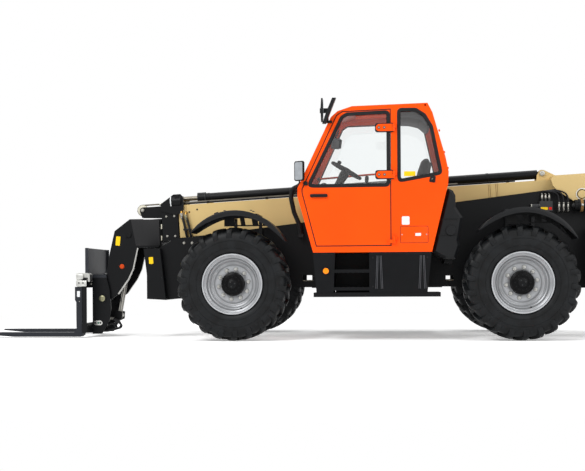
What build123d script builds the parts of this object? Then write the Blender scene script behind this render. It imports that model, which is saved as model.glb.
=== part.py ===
"""Telehandler with a four-section boom: the whole machine as separate pieces, in millimetres.

The front of the machine is -X, its cab side is -Y and up is +Z. Lengths along the machine are
stations, measured from the front axle; FRONT_AXLE_X moves them into the part's frame, whose origin
lies on the ground under the middle of the machine. Boom pieces are drawn level about the boom's
pivot and then lowered to the resting angle.
"""

import os
from math import asin, atan2, cos, degrees, hypot, pi, radians, sin, sqrt, tan

from build123d import *

os.makedirs("parts", exist_ok=True)

# ---------------------------------------------------------------- driving dimensions
FRONT_AXLE_X = -605.0
WHEELBASE = 3100.0
TRACK = 2000.0
TYRE_R = 620.0
TYRE_W = 410.0
RIM_R = 330.0
RIM_SEAT_R = 302.0
RIM_W = 396.0
FIT = 0.3
RUN = 6.0
LUGS = 22
LUG_H = 24.0
LUG_W = 46.0
LUG_LEAN = 78.0

# Steering pivots
KINGPIN_Y = TRACK / 2 - 200
KINGPIN_R = 28.0

# Chassis
PLATE_IN = 300.0
PLATE_T = 40.0
CHASSIS_Z = 575.0
NOSE_HALF_W = 450.0

# Boom, about its pivot
PIVOT_X = WHEELBASE + 760
PIVOT_Z = 1607.0
PIVOT_R = 45.0
BOOM_REST_DEG = 3.2
BOOM_WALL = 8.0
BOOM_FRONT = -PIVOT_X - 780
BOOM_REAR = 190.0
BOOM_HALF_W = 170.0
BOOM_TOP = 205.0
BOOM_BOTTOM = -170.0
SIDE_GAP = 8.0
TOP_GAP = 6.0
CHAIN_GAP = 30.0
STROKE = 3400.0

# Extension cylinder on top of the boom
RAM_Z = 288.0
RAM_R = 52.0
RAM_ROD_R = 28.0
RAM_FRONT = BOOM_FRONT + 260
RAM_REAR = -380.0
RAM_PIN_R = 22.0

# Lift cylinder between the chassis plates
LIFT_BASE = (WHEELBASE + 500, 620.0)
LIFT_EYE = (WHEELBASE - 500, 1270.0)
LIFT_R = 85.0
LIFT_ROD_R = 50.0
LIFT_BARREL_L = 1010.0

# Fork carriage and its tilt cylinder
CARRIAGE_PIN = (-1680.0, 455.0)
CARRIAGE_PIN_R = 30.0
TILT_TOP = (-1370.0, 1200.0)
TILT_EYE = (-1540.0, 250.0)
TILT_R = 48.0
TILT_ROD_R = 25.0
TILT_BARREL_L = 520.0
HEAD_HALF_W = 225.0
HEAD_T = 25.0
FORK_LENGTH = 1200.0
FORK_W = 140.0
FORK_T = 50.0
FORK_Y = 430.0
FORK_HEEL_X = -1930.0
FORK_CLEAR = 15.0

# Cab
CAB_OUT = -1150.0
CAB_IN = -370.0
CAB_T = 40.0
CAB_FLOOR_Z = 955.0
CAB_REAR = WHEELBASE - 768
GLASS_T = 6.0
DOOR_HINGE = (1750.0, -1172.0)

# Hood on the right side
HOOD_IN = 400.0
HOOD_OUT = 1130.0
HOOD_FRONT = 760.0
HOOD_REAR = WHEELBASE - 765
HOOD_TOP = 1700.0
TRAY_Z = (560.0, 600.0)
HOOD_HINGE = (386.0, 1672.0)
HOOD_T = 20.0

FENDER_R = 604.0
FENDER_T = 8.0
FENDER_CENTRE = (30.0, 806.0)
FENDER_SWEEP = (27, 142)
FENDER_IN = TRACK / 2 - 170
FENDER_OUT = TRACK / 2 + 190


# ---------------------------------------------------------------- small shape functions
def box(x0, x1, y0, y1, z0, z1):
    """A block between two limits on each axis."""
    return Pos((x0 + x1) / 2, (y0 + y1) / 2, (z0 + z1) / 2) * Box(abs(x1 - x0), abs(y1 - y0), abs(z1 - z0))


def face_xz(points):
    """A face in the XZ plane from its corners."""
    return Face(Wire.make_polygon([Vector(x, 0, z) for x, z in points], close=True))


def plate(points, y0, y1):
    """A side view's outline made solid between two planes across the machine."""
    return Pos(0, y0, 0) * extrude(face_xz(points), amount=y1 - y0, dir=(0, 1, 0))


def rod_y(x, z, r, y0, y1):
    """A round bar across the machine."""
    return Pos(x, (y0 + y1) / 2, z) * Rot(90, 0, 0) * Cylinder(r, abs(y1 - y0))


def rod_x(y, z, r, x0, x1):
    """A round bar along the machine."""
    return Pos((x0 + x1) / 2, y, z) * Rot(0, 90, 0) * Cylinder(r, abs(x1 - x0))


def rod_z(x, y, r, z0, z1):
    """An upright round bar."""
    return Pos(x, y, (z0 + z1) / 2) * Cylinder(r, abs(z1 - z0))


def rod_toward(start, end, r, from_d, to_d, y=0.0):
    """A round bar along the line from start to end, between two distances from start."""
    (x0, z0), (x1, z1) = start, end
    run = hypot(x1 - x0, z1 - z0)
    mid = (from_d + to_d) / 2 / run
    tilt = degrees(atan2(x1 - x0, z1 - z0))
    place = Pos(x0 + (x1 - x0) * mid, y, z0 + (z1 - z0) * mid) * Rot(0, tilt, 0)
    return place * Cylinder(r, to_d - from_d)


def flat_sided(rings):
    """A closed solid with flat faces through rings that all have the same number of corners."""
    faces = [Face(Wire.make_polygon(ring, close=True)) for ring in (rings[0], rings[-1])]
    count = len(rings[0])
    for near, far in zip(rings, rings[1:]):
        for k in range(count):
            j = (k + 1) % count
            faces.append(Face(Wire.make_polygon([near[k], near[j], far[j], far[k]], close=True)))
    return Solid(Shell(faces))


def faceted(stations, sides):
    """A turned form about Y with flat facets, from (distance, radius) stations."""
    turns = [2 * pi * k / sides for k in range(sides)]
    return flat_sided([[Vector(r * cos(a), y, r * sin(a)) for a in turns] for y, r in stations])


HOSE_SIDES = 8
BEND_STEPS = 3


def hose(points, r, bend):
    """A hose or pipe with flat sides through a list of points, its corners rounded in short steps."""
    corners = [Vector(*p) for p in points]
    path = [corners[0]]
    for before, corner, after in zip(corners, corners[1:], corners[2:]):
        into = (corner - before).normalized()
        out = (after - corner).normalized()
        trim = bend * tan(radians(into.get_angle(out)) / 2)
        start = corner - into * trim
        end = corner + out * trim
        for k in range(BEND_STEPS + 1):
            t = k / BEND_STEPS
            path.append(start * (1 - t) ** 2 + corner * (2 * t * (1 - t)) + end * t ** 2)
    path.append(corners[-1])
    runs = [(b - a).normalized() for a, b in zip(path, path[1:])]
    cut = Plane(path[0], z_dir=runs[0])
    ring = []
    for k in range(HOSE_SIDES):
        a = 2 * pi * (k + 0.5) / HOSE_SIDES
        ring.append(cut.from_local_coords(Vector(r * cos(a), r * sin(a), 0)))
    rings = [ring]
    for k, run in enumerate(runs):
        mitre = (run + runs[min(k + 1, len(runs) - 1)]).normalized()
        ring = [p + run * ((path[k + 1] - p).dot(mitre) / run.dot(mitre)) for p in ring]
        rings.append(ring)
    return flat_sided(rings)


def both_sides(shape):
    """A piece and its mirror image across the machine's centre plane."""
    return shape + mirror(shape, about=Plane.XZ)


def tube_x(x0, x1, half_w, z0, z1, wall):
    """A rectangular tube along the machine."""
    outside = box(x0, x1, -half_w, half_w, z0, z1)
    inside = box(x0 - 1, x1 + 1, -half_w + wall, half_w - wall, z0 + wall, z1 - wall)
    return outside - inside


def on_boom(shape):
    """Puts a piece drawn about the boom's pivot at the boom's resting angle."""
    return Pos(PIVOT_X, 0, PIVOT_Z) * Rot(0, -BOOM_REST_DEG, 0) * shape


def save(name, *shapes):
    """Writes one node, shifted from stations into the part's frame."""
    solids = [s for shape in shapes for s in shape.solids()]
    placed = [Pos(FRONT_AXLE_X, 0, 0) * s for s in solids]
    export_step(Compound(placed), f"parts/{name}.step")


# ---------------------------------------------------------------- chassis
AXLE_Z = TYRE_R
PLATE_OUT = PLATE_IN + PLATE_T
TOWER_R = 150.0
AXLE_ARCH_Z = 830.0

NOSE_LOW = 450.0
NOSE_TOP = 1035.0
AXLE_SPAN = 300.0
frame_outline = [
    (-1000, NOSE_LOW), (-640, NOSE_LOW), (-540, CHASSIS_Z), (-AXLE_SPAN - 120, CHASSIS_Z),
    (-AXLE_SPAN, AXLE_ARCH_Z), (AXLE_SPAN, AXLE_ARCH_Z), (AXLE_SPAN + 140, CHASSIS_Z),
    (WHEELBASE - AXLE_SPAN - 140, CHASSIS_Z), (WHEELBASE - AXLE_SPAN, AXLE_ARCH_Z),
    (WHEELBASE + AXLE_SPAN, AXLE_ARCH_Z), (WHEELBASE + AXLE_SPAN + 140, CHASSIS_Z),
    (PIVOT_X + 100, CHASSIS_Z),
    (PIVOT_X + 220, 900), (PIVOT_X + 160, 1450), (PIVOT_X + TOWER_R * cos(0.3), PIVOT_Z - TOWER_R * sin(0.3)),
    (PIVOT_X, PIVOT_Z), (PIVOT_X - 60, PIVOT_Z + TOWER_R * 0.9), (PIVOT_X - 300, 1671), (-480, 1180),
    (-790, 1150), (-1000, NOSE_TOP),
]
side_plate = plate(frame_outline, PLATE_IN, PLATE_OUT) + rod_y(PIVOT_X, PIVOT_Z, TOWER_R, PLATE_IN, PLATE_OUT)
side_plate -= rod_y(PIVOT_X, PIVOT_Z, PIVOT_R + FIT, PLATE_IN - 1, PLATE_OUT + 1)
# Columns: front station, rear station, bottom, top of each hole through the side plates
PLATE_HOLES = ((700, 820, 645, 715), (WHEELBASE - 760, WHEELBASE - 670, 640, 700))
for x0, x1, z0, z1 in PLATE_HOLES:
    side_plate -= box(x0, x1, PLATE_IN - 1, PLATE_OUT + 1, z0, z1)

# The nose: a fabricated box that carries the front of the frame, open towards the axle
nose_outline = [
    (-1142, NOSE_TOP), (-1105, 728), (-1105, NOSE_LOW), (-884, NOSE_LOW - 13), (-950, NOSE_TOP),
]
nose = plate(nose_outline, -NOSE_HALF_W, NOSE_HALF_W)
nose -= box(-1060, -850, -PLATE_IN + 20, PLATE_IN - 20, NOSE_LOW + 30, NOSE_TOP - 30)

# Columns: front station, rear station, bottom, top
CROSS_MEMBERS = (
    (560, 640, 690, 810), (WHEELBASE / 2 + 230, WHEELBASE / 2 + 310, 690, 810),
    (PIVOT_X + 130, PIVOT_X + 180, 600, 1200),
)
frame = both_sides(side_plate) + nose
for x0, x1, z0, z1 in CROSS_MEMBERS:
    frame += box(x0, x1, -PLATE_IN, PLATE_IN, z0, z1)
LIFT_PIN_R = 40.0
LIFT_BASE_HALF = 70.0
base_lug = rod_y(*LIFT_BASE, 95, LIFT_BASE_HALF + RUN, PLATE_IN)
frame += both_sides(base_lug)
frame += rod_y(*LIFT_BASE, LIFT_PIN_R, -PLATE_IN, PLATE_IN)
save("chassis_frame", frame)

COUNTERWEIGHT = (PIVOT_X + 60, PIVOT_X + 340, 900.0, 545.0, 1230.0)
cw_front, cw_rear, cw_half, cw_low, cw_high = COUNTERWEIGHT
ballast = box(cw_front, cw_rear, PLATE_OUT + FIT, cw_half, cw_low, cw_high)
ballast = both_sides(ballast) + box(cw_rear - 110, cw_rear, -cw_half, cw_half, cw_low, cw_high)
ballast = chamfer(ballast.edges().filter_by(Axis.Z).sort_by(Axis.X)[-2:], 90)
LAMP_Z = 1120.0
LAMP_Y = 760.0

# Tow hitch: a channel bolted to the counterweight with an upright pin
HITCH_Z = 640.0
HITCH_PIN_R = 16.0
HITCH_PIN_X = cw_rear + 90
hitch = box(cw_rear, cw_rear + 20, -110, 110, HITCH_Z - 90, HITCH_Z + 90)
for z in (HITCH_Z - 60, HITCH_Z + 60):
    hitch += box(cw_rear, cw_rear + 140, -70, 70, z - 12, z + 12)
    hitch -= rod_z(HITCH_PIN_X, 0, HITCH_PIN_R + FIT, z - 20, z + 20)
save("counterweight", ballast + hitch)


# ---------------------------------------------------------------- axles, knuckles and wheels
DIFF_HALF = 190.0
YOKE_HALF = 60.0
YOKE_T = 30.0
YOKE_GAP = 100.0
YOKE_BACK = KINGPIN_Y - 150
SPINDLE_R = 60.0
HUB_SIDES = 16
# Columns: distance from the machine's centre, radius of the banjo housing
AXLE_HOUSING = ((YOKE_BACK + 10, 66), (300, 74), (190, 150), (70, 172))


def axle(x):
    """A banjo housing with its differential nose and a fork for the kingpin at each end."""
    right = [(y, r) for y, r in AXLE_HOUSING]
    left = [(-y, r) for y, r in AXLE_HOUSING[::-1]]
    beam = Pos(x, 0, AXLE_Z) * faceted(right + left, 12)
    beam += Pos(x, 0, AXLE_Z) * Rot(0, 0, 90) * faceted([(-DIFF_HALF, 60), (0, 105), (DIFF_HALF, 60)], 12)
    beam += both_sides(box(x - 110, x + 110, PLATE_IN, PLATE_OUT, AXLE_Z, AXLE_ARCH_Z - FIT))
    for side in (-1, 1):
        back = sorted((side * YOKE_BACK, side * (YOKE_BACK + 50)))
        arm = sorted((side * YOKE_BACK, side * (KINGPIN_Y + 55)))
        beam += box(x - YOKE_HALF, x + YOKE_HALF, *back, AXLE_Z - YOKE_GAP - YOKE_T, AXLE_Z + YOKE_GAP + YOKE_T)
        for z0 in (YOKE_GAP, -YOKE_GAP - YOKE_T):
            beam += box(x - YOKE_HALF, x + YOKE_HALF, *arm, AXLE_Z + z0, AXLE_Z + z0 + YOKE_T)
        beam -= rod_z(x, side * KINGPIN_Y, KINGPIN_R + FIT, AXLE_Z - 200, AXLE_Z + 200)
    return beam


def knuckle(x, side):
    """The steering knuckle: kingpin, carrier, steering arm and the stub that carries the hub."""
    y = side * KINGPIN_Y
    pin_half = YOKE_GAP + YOKE_T
    carrier = box(x - 62, x + 62, y - 55, y + 55, AXLE_Z - YOKE_GAP + 5, AXLE_Z + YOKE_GAP - 5)
    carrier = chamfer(carrier.edges().filter_by(Axis.Z), 24)
    carrier += rod_z(x, y, KINGPIN_R, AXLE_Z - pin_half, AXLE_Z + pin_half)
    spindle = [(side * (KINGPIN_Y + 40), SPINDLE_R), (side * (HUB_Y - 0.5 * RUN), SPINDLE_R)]
    stub = sorted((side * (HUB_Y - RUN), side * (HUB_Y + 60)))
    return carrier + Pos(x, 0, AXLE_Z) * faceted(sorted(spindle), HUB_SIDES) + rod_y(x, AXLE_Z, STUB_R, *stub)


HUB_Y = TRACK / 2 - 60
STUB_R = 40.0
HUB_R = 124.0
DISC_OUT = 66.0
DISC_T = 20.0
HUB_OUT = 172.0


def rim():
    """A dished steel rim with its planetary hub, its axle along Y and outboard at +Y."""
    half = RIM_W / 2
    barrel = faceted([
        (-half, RIM_R), (-half + 14, RIM_R), (-half + 30, RIM_SEAT_R), (half - 30, RIM_SEAT_R),
        (half - 14, RIM_R),
        (half, RIM_R),
    ], LUGS)
    dish = faceted([
        (DISC_OUT, 216), (DISC_OUT + 34, 248), (DISC_OUT + 40, 262), (half - 44, 270),
        (half - 38, 288), (half + 1, 312),
    ], LUGS)
    back = faceted([(-half - 1, 300), (-half + 50, 274), (DISC_OUT - DISC_T, 266)], LUGS)
    hub = faceted([(DISC_OUT - 1, HUB_R), (HUB_OUT - 22, HUB_R), (HUB_OUT, HUB_R - 22)], HUB_SIDES)
    hub += faceted([(-60, HUB_R + 20), (DISC_OUT - 1, HUB_R + 20)], HUB_SIDES)
    return (barrel - dish - back) + hub - rod_y(0, 0, STUB_R + FIT, -61, 70)


def lug(side):
    """One tread lug from the tyre's middle to its shoulder, its shoulder end leaning to the front."""
    # Columns: distance along the axle, tip radius, foot height, middle of the lug round the tyre
    rows = ((6, TYRE_R, TYRE_R - 35, LUG_LEAN / 2), (TYRE_W / 2 - 3, TYRE_R - 16, TYRE_R - 95, -LUG_LEAN / 2))
    rings = []
    for y, tip, foot, across in rows:
        tip_z = sqrt(tip ** 2 - (abs(across) + LUG_W / 2) ** 2)
        low, high = across - LUG_W / 2, across + LUG_W / 2
        rings.append([
            Vector(low, side * y, foot), Vector(high, side * y, foot), Vector(high, side * y, tip_z),
            Vector(low, side * y, tip_z),
        ])
    return flat_sided(rings)


def tyre():
    """The tyre with its staggered lugs, its axle along Y; one lug's edge stands on the ground."""
    half = TYRE_W / 2
    bead = RIM_SEAT_R + FIT
    seat = RIM_W / 2 - 30 - FIT
    crown = TYRE_R - LUG_H
    carcass = faceted([(-half, 540), (-half + 55, crown), (half - 55, crown), (half, 540)], LUGS)
    carcass -= faceted([(-half - 1, 430), (-seat, bead), (seat, bead), (half + 1, 430)], LUGS)
    edge = degrees(asin((LUG_LEAN + LUG_W) / 2 / TYRE_R))
    for side, start in ((-1, -edge), (1, 180 / LUGS - edge)):
        shape = lug(side)
        carcass += [Rot(0, start + 360 * k / LUGS, 0) * shape for k in range(LUGS)]
    return carcass


save("front_axle", axle(0))
save("rear_axle", axle(WHEELBASE))
rim_shape = rim()
tyre_shape = tyre()
# Columns: corner's name, station, side
CORNERS = (
    ("front_left", 0.0, -1), ("front_right", 0.0, 1), ("rear_left", WHEELBASE, -1),
    ("rear_right", WHEELBASE, 1),
)
for corner, x, side in CORNERS:
    turn = Rot(0, 0, 180) if side < 0 else Rot(0, 0, 0)
    place = Pos(x, side * TRACK / 2, AXLE_Z) * turn
    save(f"knuckle_{corner}", knuckle(x, side))
    save(f"rim_{corner}", place * rim_shape)
    tyre_side = mirror(tyre_shape, about=Plane.XZ) if side < 0 else tyre_shape
    save(f"tyre_{corner}", Pos(x, side * TRACK / 2, AXLE_Z) * tyre_side)

# Driveline seen from below: transfer case and a shaft to each axle
CASE_X = (WHEELBASE / 2 - 130, WHEELBASE / 2 + 150)
transfer = box(*CASE_X, -180, 180, 480, 780)
transfer = chamfer(transfer.edges().filter_by(Axis.Y), 40)
transfer += both_sides(box(CASE_X[0] + 60, CASE_X[1] - 60, 179, PLATE_IN - FIT, 700, 740))
save("transfer_case", transfer)
shafts = rod_x(0, AXLE_Z, 38, DIFF_HALF + FIT, CASE_X[0] - FIT)
shafts += rod_x(0, AXLE_Z, 38, CASE_X[1] + FIT, WHEELBASE - DIFF_HALF - FIT)
save("drive_shafts", shafts)


# ---------------------------------------------------------------- boom
# Columns: section, front, rear; each section fits inside the one before
section_2_front = BOOM_FRONT - 205
NOSE_GAP = 10.0
COLLAR_HALF = 200.0


def inner_size(half_w, z0, z1, top_gap):
    """The next section's half width, bottom and top, from the section around it."""
    return (
        half_w - BOOM_WALL - SIDE_GAP, z0 + BOOM_WALL + SIDE_GAP, z1 - BOOM_WALL - top_gap,
    )


def wear_pads(inner, around, x0, x1, on_inner):
    """Slide pads between two nested sections, carried by one and just clear of the other."""
    half, low, high = inner
    half_in = around[0] - BOOM_WALL
    low_in = around[1] + BOOM_WALL
    high_in = around[2] - BOOM_WALL
    near = 0 if on_inner else FIT
    far = FIT if on_inner else 0
    pads = both_sides(box(x0, x1, half + near, half_in - far, low + 40, high - 40))
    pads += box(x0, x1, -90, 90, low_in + far, low - near)
    pads += box(x0, x1, -44, 100, high + near, high_in - far)
    return pads


PAD_L = 80.0
outer_size = (BOOM_HALF_W, BOOM_BOTTOM, BOOM_TOP)
size_2 = inner_size(*outer_size, TOP_GAP)
size_3 = inner_size(*size_2, CHAIN_GAP)
HEAD_TOP = 58.0
size_4 = inner_size(*size_3, size_3[2] - BOOM_WALL - HEAD_TOP)

outer = tube_x(BOOM_FRONT, BOOM_REAR, *outer_size, BOOM_WALL)
cuff = box(BOOM_FRONT, BOOM_FRONT + 90, -BOOM_HALF_W - 10, BOOM_HALF_W + 10, BOOM_BOTTOM - 10, BOOM_TOP)
outer += cuff - box(
    BOOM_FRONT - 1, BOOM_FRONT + 91, -BOOM_HALF_W + BOOM_WALL, BOOM_HALF_W - BOOM_WALL,
    BOOM_BOTTOM + BOOM_WALL, BOOM_TOP - BOOM_WALL,
)
BRIDGE_X = (-300.0, 90.0)
EAR_IN = PLATE_OUT + 20
EAR_T = 40.0
bridge = box(*BRIDGE_X, -EAR_IN - EAR_T, EAR_IN + EAR_T, BOOM_TOP, BOOM_TOP + 25)
ear_outline = [
    (-262, 52), (-60, -95), (20, -110), (110, -30), (110, 180), (80, BOOM_TOP + 25), (-300, BOOM_TOP + 25),
    (-330, 185), (-312, 112),
]
ear = plate(ear_outline, EAR_IN, EAR_IN + EAR_T)
boss = rod_y(0, 0, 85, BOOM_HALF_W, PLATE_IN - 2)
outer += bridge + both_sides(ear) + both_sides(boss)
LUG_IN = 66.0
LUG_T = 30.0
eye_dx = LIFT_EYE[0] - PIVOT_X
eye_dz = LIFT_EYE[1] - PIVOT_Z
tilt_rad = radians(BOOM_REST_DEG)
eye_local = (eye_dx * cos(tilt_rad) + eye_dz * sin(tilt_rad), -eye_dx * sin(tilt_rad) + eye_dz * cos(tilt_rad))
lug_outline = [
    (eye_local[0] - 190, BOOM_BOTTOM), (eye_local[0] - 70, eye_local[1] - 40),
    (eye_local[0] + 70, eye_local[1] - 40),
    (eye_local[0] + 190, BOOM_BOTTOM),
]
lug = plate(lug_outline, LUG_IN, LUG_IN + LUG_T) + rod_y(*eye_local, 75, LUG_IN, LUG_IN + LUG_T)
lug -= rod_y(*eye_local, LIFT_PIN_R + FIT, LUG_IN - 1, LUG_IN + LUG_T + 1)
outer += both_sides(lug)
outer += rod_y(0, 0, PIVOT_R, -EAR_IN - EAR_T - 8, EAR_IN + EAR_T + 8)
# Gussets that carry the extension cylinder's rear pin
RAM_EYE_HALF = RAM_R + 18
gusset_outline = [
    (RAM_REAR - 66, BOOM_TOP), (RAM_REAR - 60, RAM_Z - 20), (RAM_REAR - 26, RAM_Z + 40),
    (RAM_REAR + 22, RAM_Z + 40),
    (RAM_REAR + 175, BOOM_TOP + 36), (RAM_REAR + 175, BOOM_TOP),
]
gusset = plate(gusset_outline, RAM_EYE_HALF + 2, RAM_EYE_HALF + 27)
outer += both_sides(gusset)
outer -= rod_y(RAM_REAR, RAM_Z, RAM_PIN_R + FIT, -200, 200)
# Upright bars welded to the boom's sides, and the saddle under the cylinder's gland
for x in (-1006, -986, -922, -902):
    outer += both_sides(box(x, x + 12, BOOM_HALF_W, BOOM_HALF_W + 8, BOOM_BOTTOM, BOOM_TOP))
outer += box(RAM_FRONT + 80, RAM_FRONT + 130, -40, 40, BOOM_TOP, RAM_Z - RAM_R - FIT)
outer += wear_pads(size_2, outer_size, BOOM_FRONT, BOOM_FRONT + PAD_L, False)
save("boom_outer", on_boom(outer))

GLAND_HALF = 45.0
ram = rod_x(0, RAM_Z, RAM_R, RAM_FRONT, RAM_REAR - 45)
ram += rod_x(0, RAM_Z, RAM_R + 12, RAM_FRONT - GLAND_HALF, RAM_FRONT + GLAND_HALF)
ram += rod_y(RAM_REAR, RAM_Z, 45, -RAM_EYE_HALF, RAM_EYE_HALF)
ram += box(RAM_REAR - 60, RAM_REAR, -40, 40, RAM_Z - 30, RAM_Z + 30)
ram -= rod_x(0, RAM_Z, RAM_ROD_R + FIT, RAM_FRONT - GLAND_HALF - 1, RAM_REAR - 110)
ram += rod_y(RAM_REAR, RAM_Z, RAM_PIN_R, -RAM_EYE_HALF - 40, RAM_EYE_HALF + 40)
save("extension_barrel", on_boom(ram))

# Steel pipes in clips along the top of the boom
PIPE_R = 9.0
pipes = []
for y in (-152, -128):
    pipe = faceted([(BOOM_FRONT + 120, PIPE_R), (-700, PIPE_R)], 8)
    pipes.append(Pos(0, y, BOOM_TOP + PIPE_R + 6) * Rot(0, 0, -90) * pipe)
clip_top = BOOM_TOP + 2 * PIPE_R + 10
clips = [box(x, x + 30, -166, -114, BOOM_TOP + FIT, clip_top) for x in range(int(BOOM_FRONT) + 340, -700, 700)]
save("boom_pipes", on_boom(pipes[0] + pipes[1] + clips))

TUBE_REARS = (-250.0, -320.0, -390.0)
tube_2 = tube_x(section_2_front, TUBE_REARS[0], *size_2, BOOM_WALL)
tube_2 += wear_pads(size_2, outer_size, TUBE_REARS[0] - PAD_L, TUBE_REARS[0], True)
tube_2 += wear_pads(size_3, size_2, section_2_front, section_2_front + PAD_L, False)
COLLAR_REAR = BOOM_FRONT - NOSE_GAP
collar_out = box(section_2_front, COLLAR_REAR, -COLLAR_HALF, COLLAR_HALF, BOOM_BOTTOM - 42, BOOM_TOP + 22)
collar_in = box(
    section_2_front - 1, BOOM_FRONT, -size_2[0] + BOOM_WALL, size_2[0] - BOOM_WALL,
    size_2[1] + BOOM_WALL, size_2[2] - BOOM_WALL,
)
# Cheeks on the collar that hold the extension rod's pin
ROD_PIN_X = COLLAR_REAR + 10
CHEEK_T = 18.0
cheek_outline = [
    (section_2_front, BOOM_TOP - 60), (section_2_front, BOOM_TOP + 22), (section_2_front + 128, RAM_Z + 22),
    (ROD_PIN_X - 45, RAM_Z + 44), (ROD_PIN_X + 40, RAM_Z + 44), (ROD_PIN_X + 68, RAM_Z + 8),
    (ROD_PIN_X + 68, 150), (ROD_PIN_X + 30, 104), (ROD_PIN_X - 10, 96), (COLLAR_REAR, BOOM_TOP - 120),
]
cheek = plate(cheek_outline, COLLAR_HALF, COLLAR_HALF + CHEEK_T)
section_2 = tube_2 + (collar_out - collar_in) + both_sides(cheek)
section_2 += rod_y(ROD_PIN_X, RAM_Z, RAM_PIN_R, -COLLAR_HALF - CHEEK_T - 10, COLLAR_HALF + CHEEK_T + 10)
save("boom_section_2", on_boom(section_2))
ram_rod = rod_x(0, RAM_Z, RAM_ROD_R, ROD_PIN_X + 30, RAM_FRONT + STROKE + 90)
ram_rod += rod_y(ROD_PIN_X, RAM_Z, 46, -60, 60)
ram_rod -= rod_y(ROD_PIN_X, RAM_Z, RAM_PIN_R + FIT, -100, 100)
save("extension_rod", on_boom(ram_rod))

SHEAVE = (BOOM_FRONT - 443, 177.0)
SHEAVE_R = 53.0
SHEAVE_SIDES = 20
CHAIN_T = 16.0
CHAIN_W = 36.0
CHAIN_Y = -90.0
CHAIN_PITCH = 32.0
section_3_front = section_2_front - 4
tube_3 = tube_x(section_3_front, TUBE_REARS[1], *size_3, BOOM_WALL)
tube_3 += wear_pads(size_3, size_2, TUBE_REARS[1] - PAD_L, TUBE_REARS[1], True)
tube_3 += wear_pads(size_4, size_3, section_3_front, section_3_front + PAD_L, False)
arm_top = size_3[2]
arm_outline = [
    (section_3_front + 190, arm_top), (section_3_front, arm_top), (section_3_front - 12, HEAD_TOP + 14),
    (SHEAVE[0] - 10, HEAD_TOP + 30), (SHEAVE[0] - 34, SHEAVE[1] - 14), (SHEAVE[0] - 22, SHEAVE[1] + 24),
    (SHEAVE[0], SHEAVE[1] + 34), (section_3_front - 14, SHEAVE[1] + 34), (section_3_front - 14, arm_top + 22),
    (section_3_front + 190, arm_top + 22),
]
arm = plate(arm_outline, CHAIN_W / 2 + 8, CHAIN_W / 2 + 22)
arm -= rod_y(*SHEAVE, 15 + FIT, 0, 100)
section_3 = tube_3 + Pos(0, CHAIN_Y, 0) * both_sides(arm)
save("boom_section_3", on_boom(section_3))

sheave_place = Pos(SHEAVE[0], CHAIN_Y, SHEAVE[1])
half_w = CHAIN_W / 2
wheel = faceted([(-half_w, SHEAVE_R - FIT), (half_w, SHEAVE_R - FIT)], SHEAVE_SIDES)
wheel += both_sides(faceted([(half_w + FIT, SHEAVE_R + 9), (half_w + 6, SHEAVE_R + 9)], SHEAVE_SIDES))
wheel += both_sides(faceted([(half_w, 30), (half_w + 7, 30)], 12))
wheel += rod_y(0, 0, 15, -half_w - 26, half_w + 26)
save("extension_sheave", on_boom(sheave_place * wheel))

# Leaf chain: plates round the sheave and along both strands, then the plain strand inside the boom
chain_rear = STROKE + 330
LINKS_OUT = 8
chain = box(LINKS_OUT * CHAIN_PITCH, chain_rear, -half_w, half_w, SHEAVE_R, SHEAVE_R + CHAIN_T)
chain += box(0, 420, -half_w, half_w, -SHEAVE_R - CHAIN_T, -SHEAVE_R)
for k in range(LINKS_OUT):
    wide = half_w if k % 2 else half_w - 7
    chain += box(k * CHAIN_PITCH, (k + 1) * CHAIN_PITCH + 4, -wide, wide, SHEAVE_R, SHEAVE_R + CHAIN_T)
WRAP_LINKS = SHEAVE_SIDES // 2
for k in range(WRAP_LINKS):
    wide = half_w if k % 2 else half_w - 7
    angle = 180 * (k + 0.5) / WRAP_LINKS
    reach = SHEAVE_R * sin(pi / SHEAVE_SIDES) + 3
    chain += Rot(0, -angle, 0) * box(-reach, reach, -wide, wide, SHEAVE_R, SHEAVE_R + CHAIN_T)
save("extension_chain", on_boom(sheave_place * chain))

HEAD_FRONT = BOOM_FRONT - 570
HEAD_REAR = section_3_front - 8
HEAD_BOTTOM = -272.0
tube_4 = tube_x(HEAD_REAR - 60, TUBE_REARS[2], *size_4, BOOM_WALL)
tube_4 += wear_pads(size_4, size_3, TUBE_REARS[2] - PAD_L, TUBE_REARS[2], True)
head_in = HEAD_HALF_W - HEAD_T
head = box(HEAD_FRONT, HEAD_REAR, -head_in, head_in, HEAD_BOTTOM, HEAD_TOP)
head -= box(HEAD_FRONT - 1, HEAD_REAR - 20, -head_in + 20, head_in - 20, -400, HEAD_TOP - 20)
head -= box(HEAD_REAR - 61, HEAD_REAR + 1, -size_4[0], size_4[0], size_4[1], size_4[2])
fly = on_boom(tube_4 + head)
neck_outline = [
    (-1358, 1388), (-1540, 1250), (-1600, 992), (-1668, 555), (CARRIAGE_PIN[0] - 90, CARRIAGE_PIN[1]),
    (CARRIAGE_PIN[0], CARRIAGE_PIN[1] - 90), (CARRIAGE_PIN[0] + 85, CARRIAGE_PIN[1] - 20), (-1500, 505),
    (-1375, 680), (-1318, 800), (-1262, 1049), (-1010, 1056), (-1010, 1120), (-1200, 1388),
]
neck = plate(neck_outline, head_in, HEAD_HALF_W) + rod_y(*CARRIAGE_PIN, 90, head_in, HEAD_HALF_W)
front_web = plate([
    (-1358, 1388), (-1540, 1250), (-1600, 992), (-1640, 735), (-1618, 730), (-1578, 990),
    (-1522, 1238), (-1352, 1366),
], -head_in, head_in)
tilt_hinge = both_sides(rod_y(*TILT_TOP, 60, 62, head_in))
head_neck = both_sides(neck) + front_web + tilt_hinge
head_neck -= rod_y(*CARRIAGE_PIN, CARRIAGE_PIN_R + FIT, -400, 400)
head_neck += rod_y(*TILT_TOP, 25, -head_in, head_in)
save("boom_fly", fly + head_neck)


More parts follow.
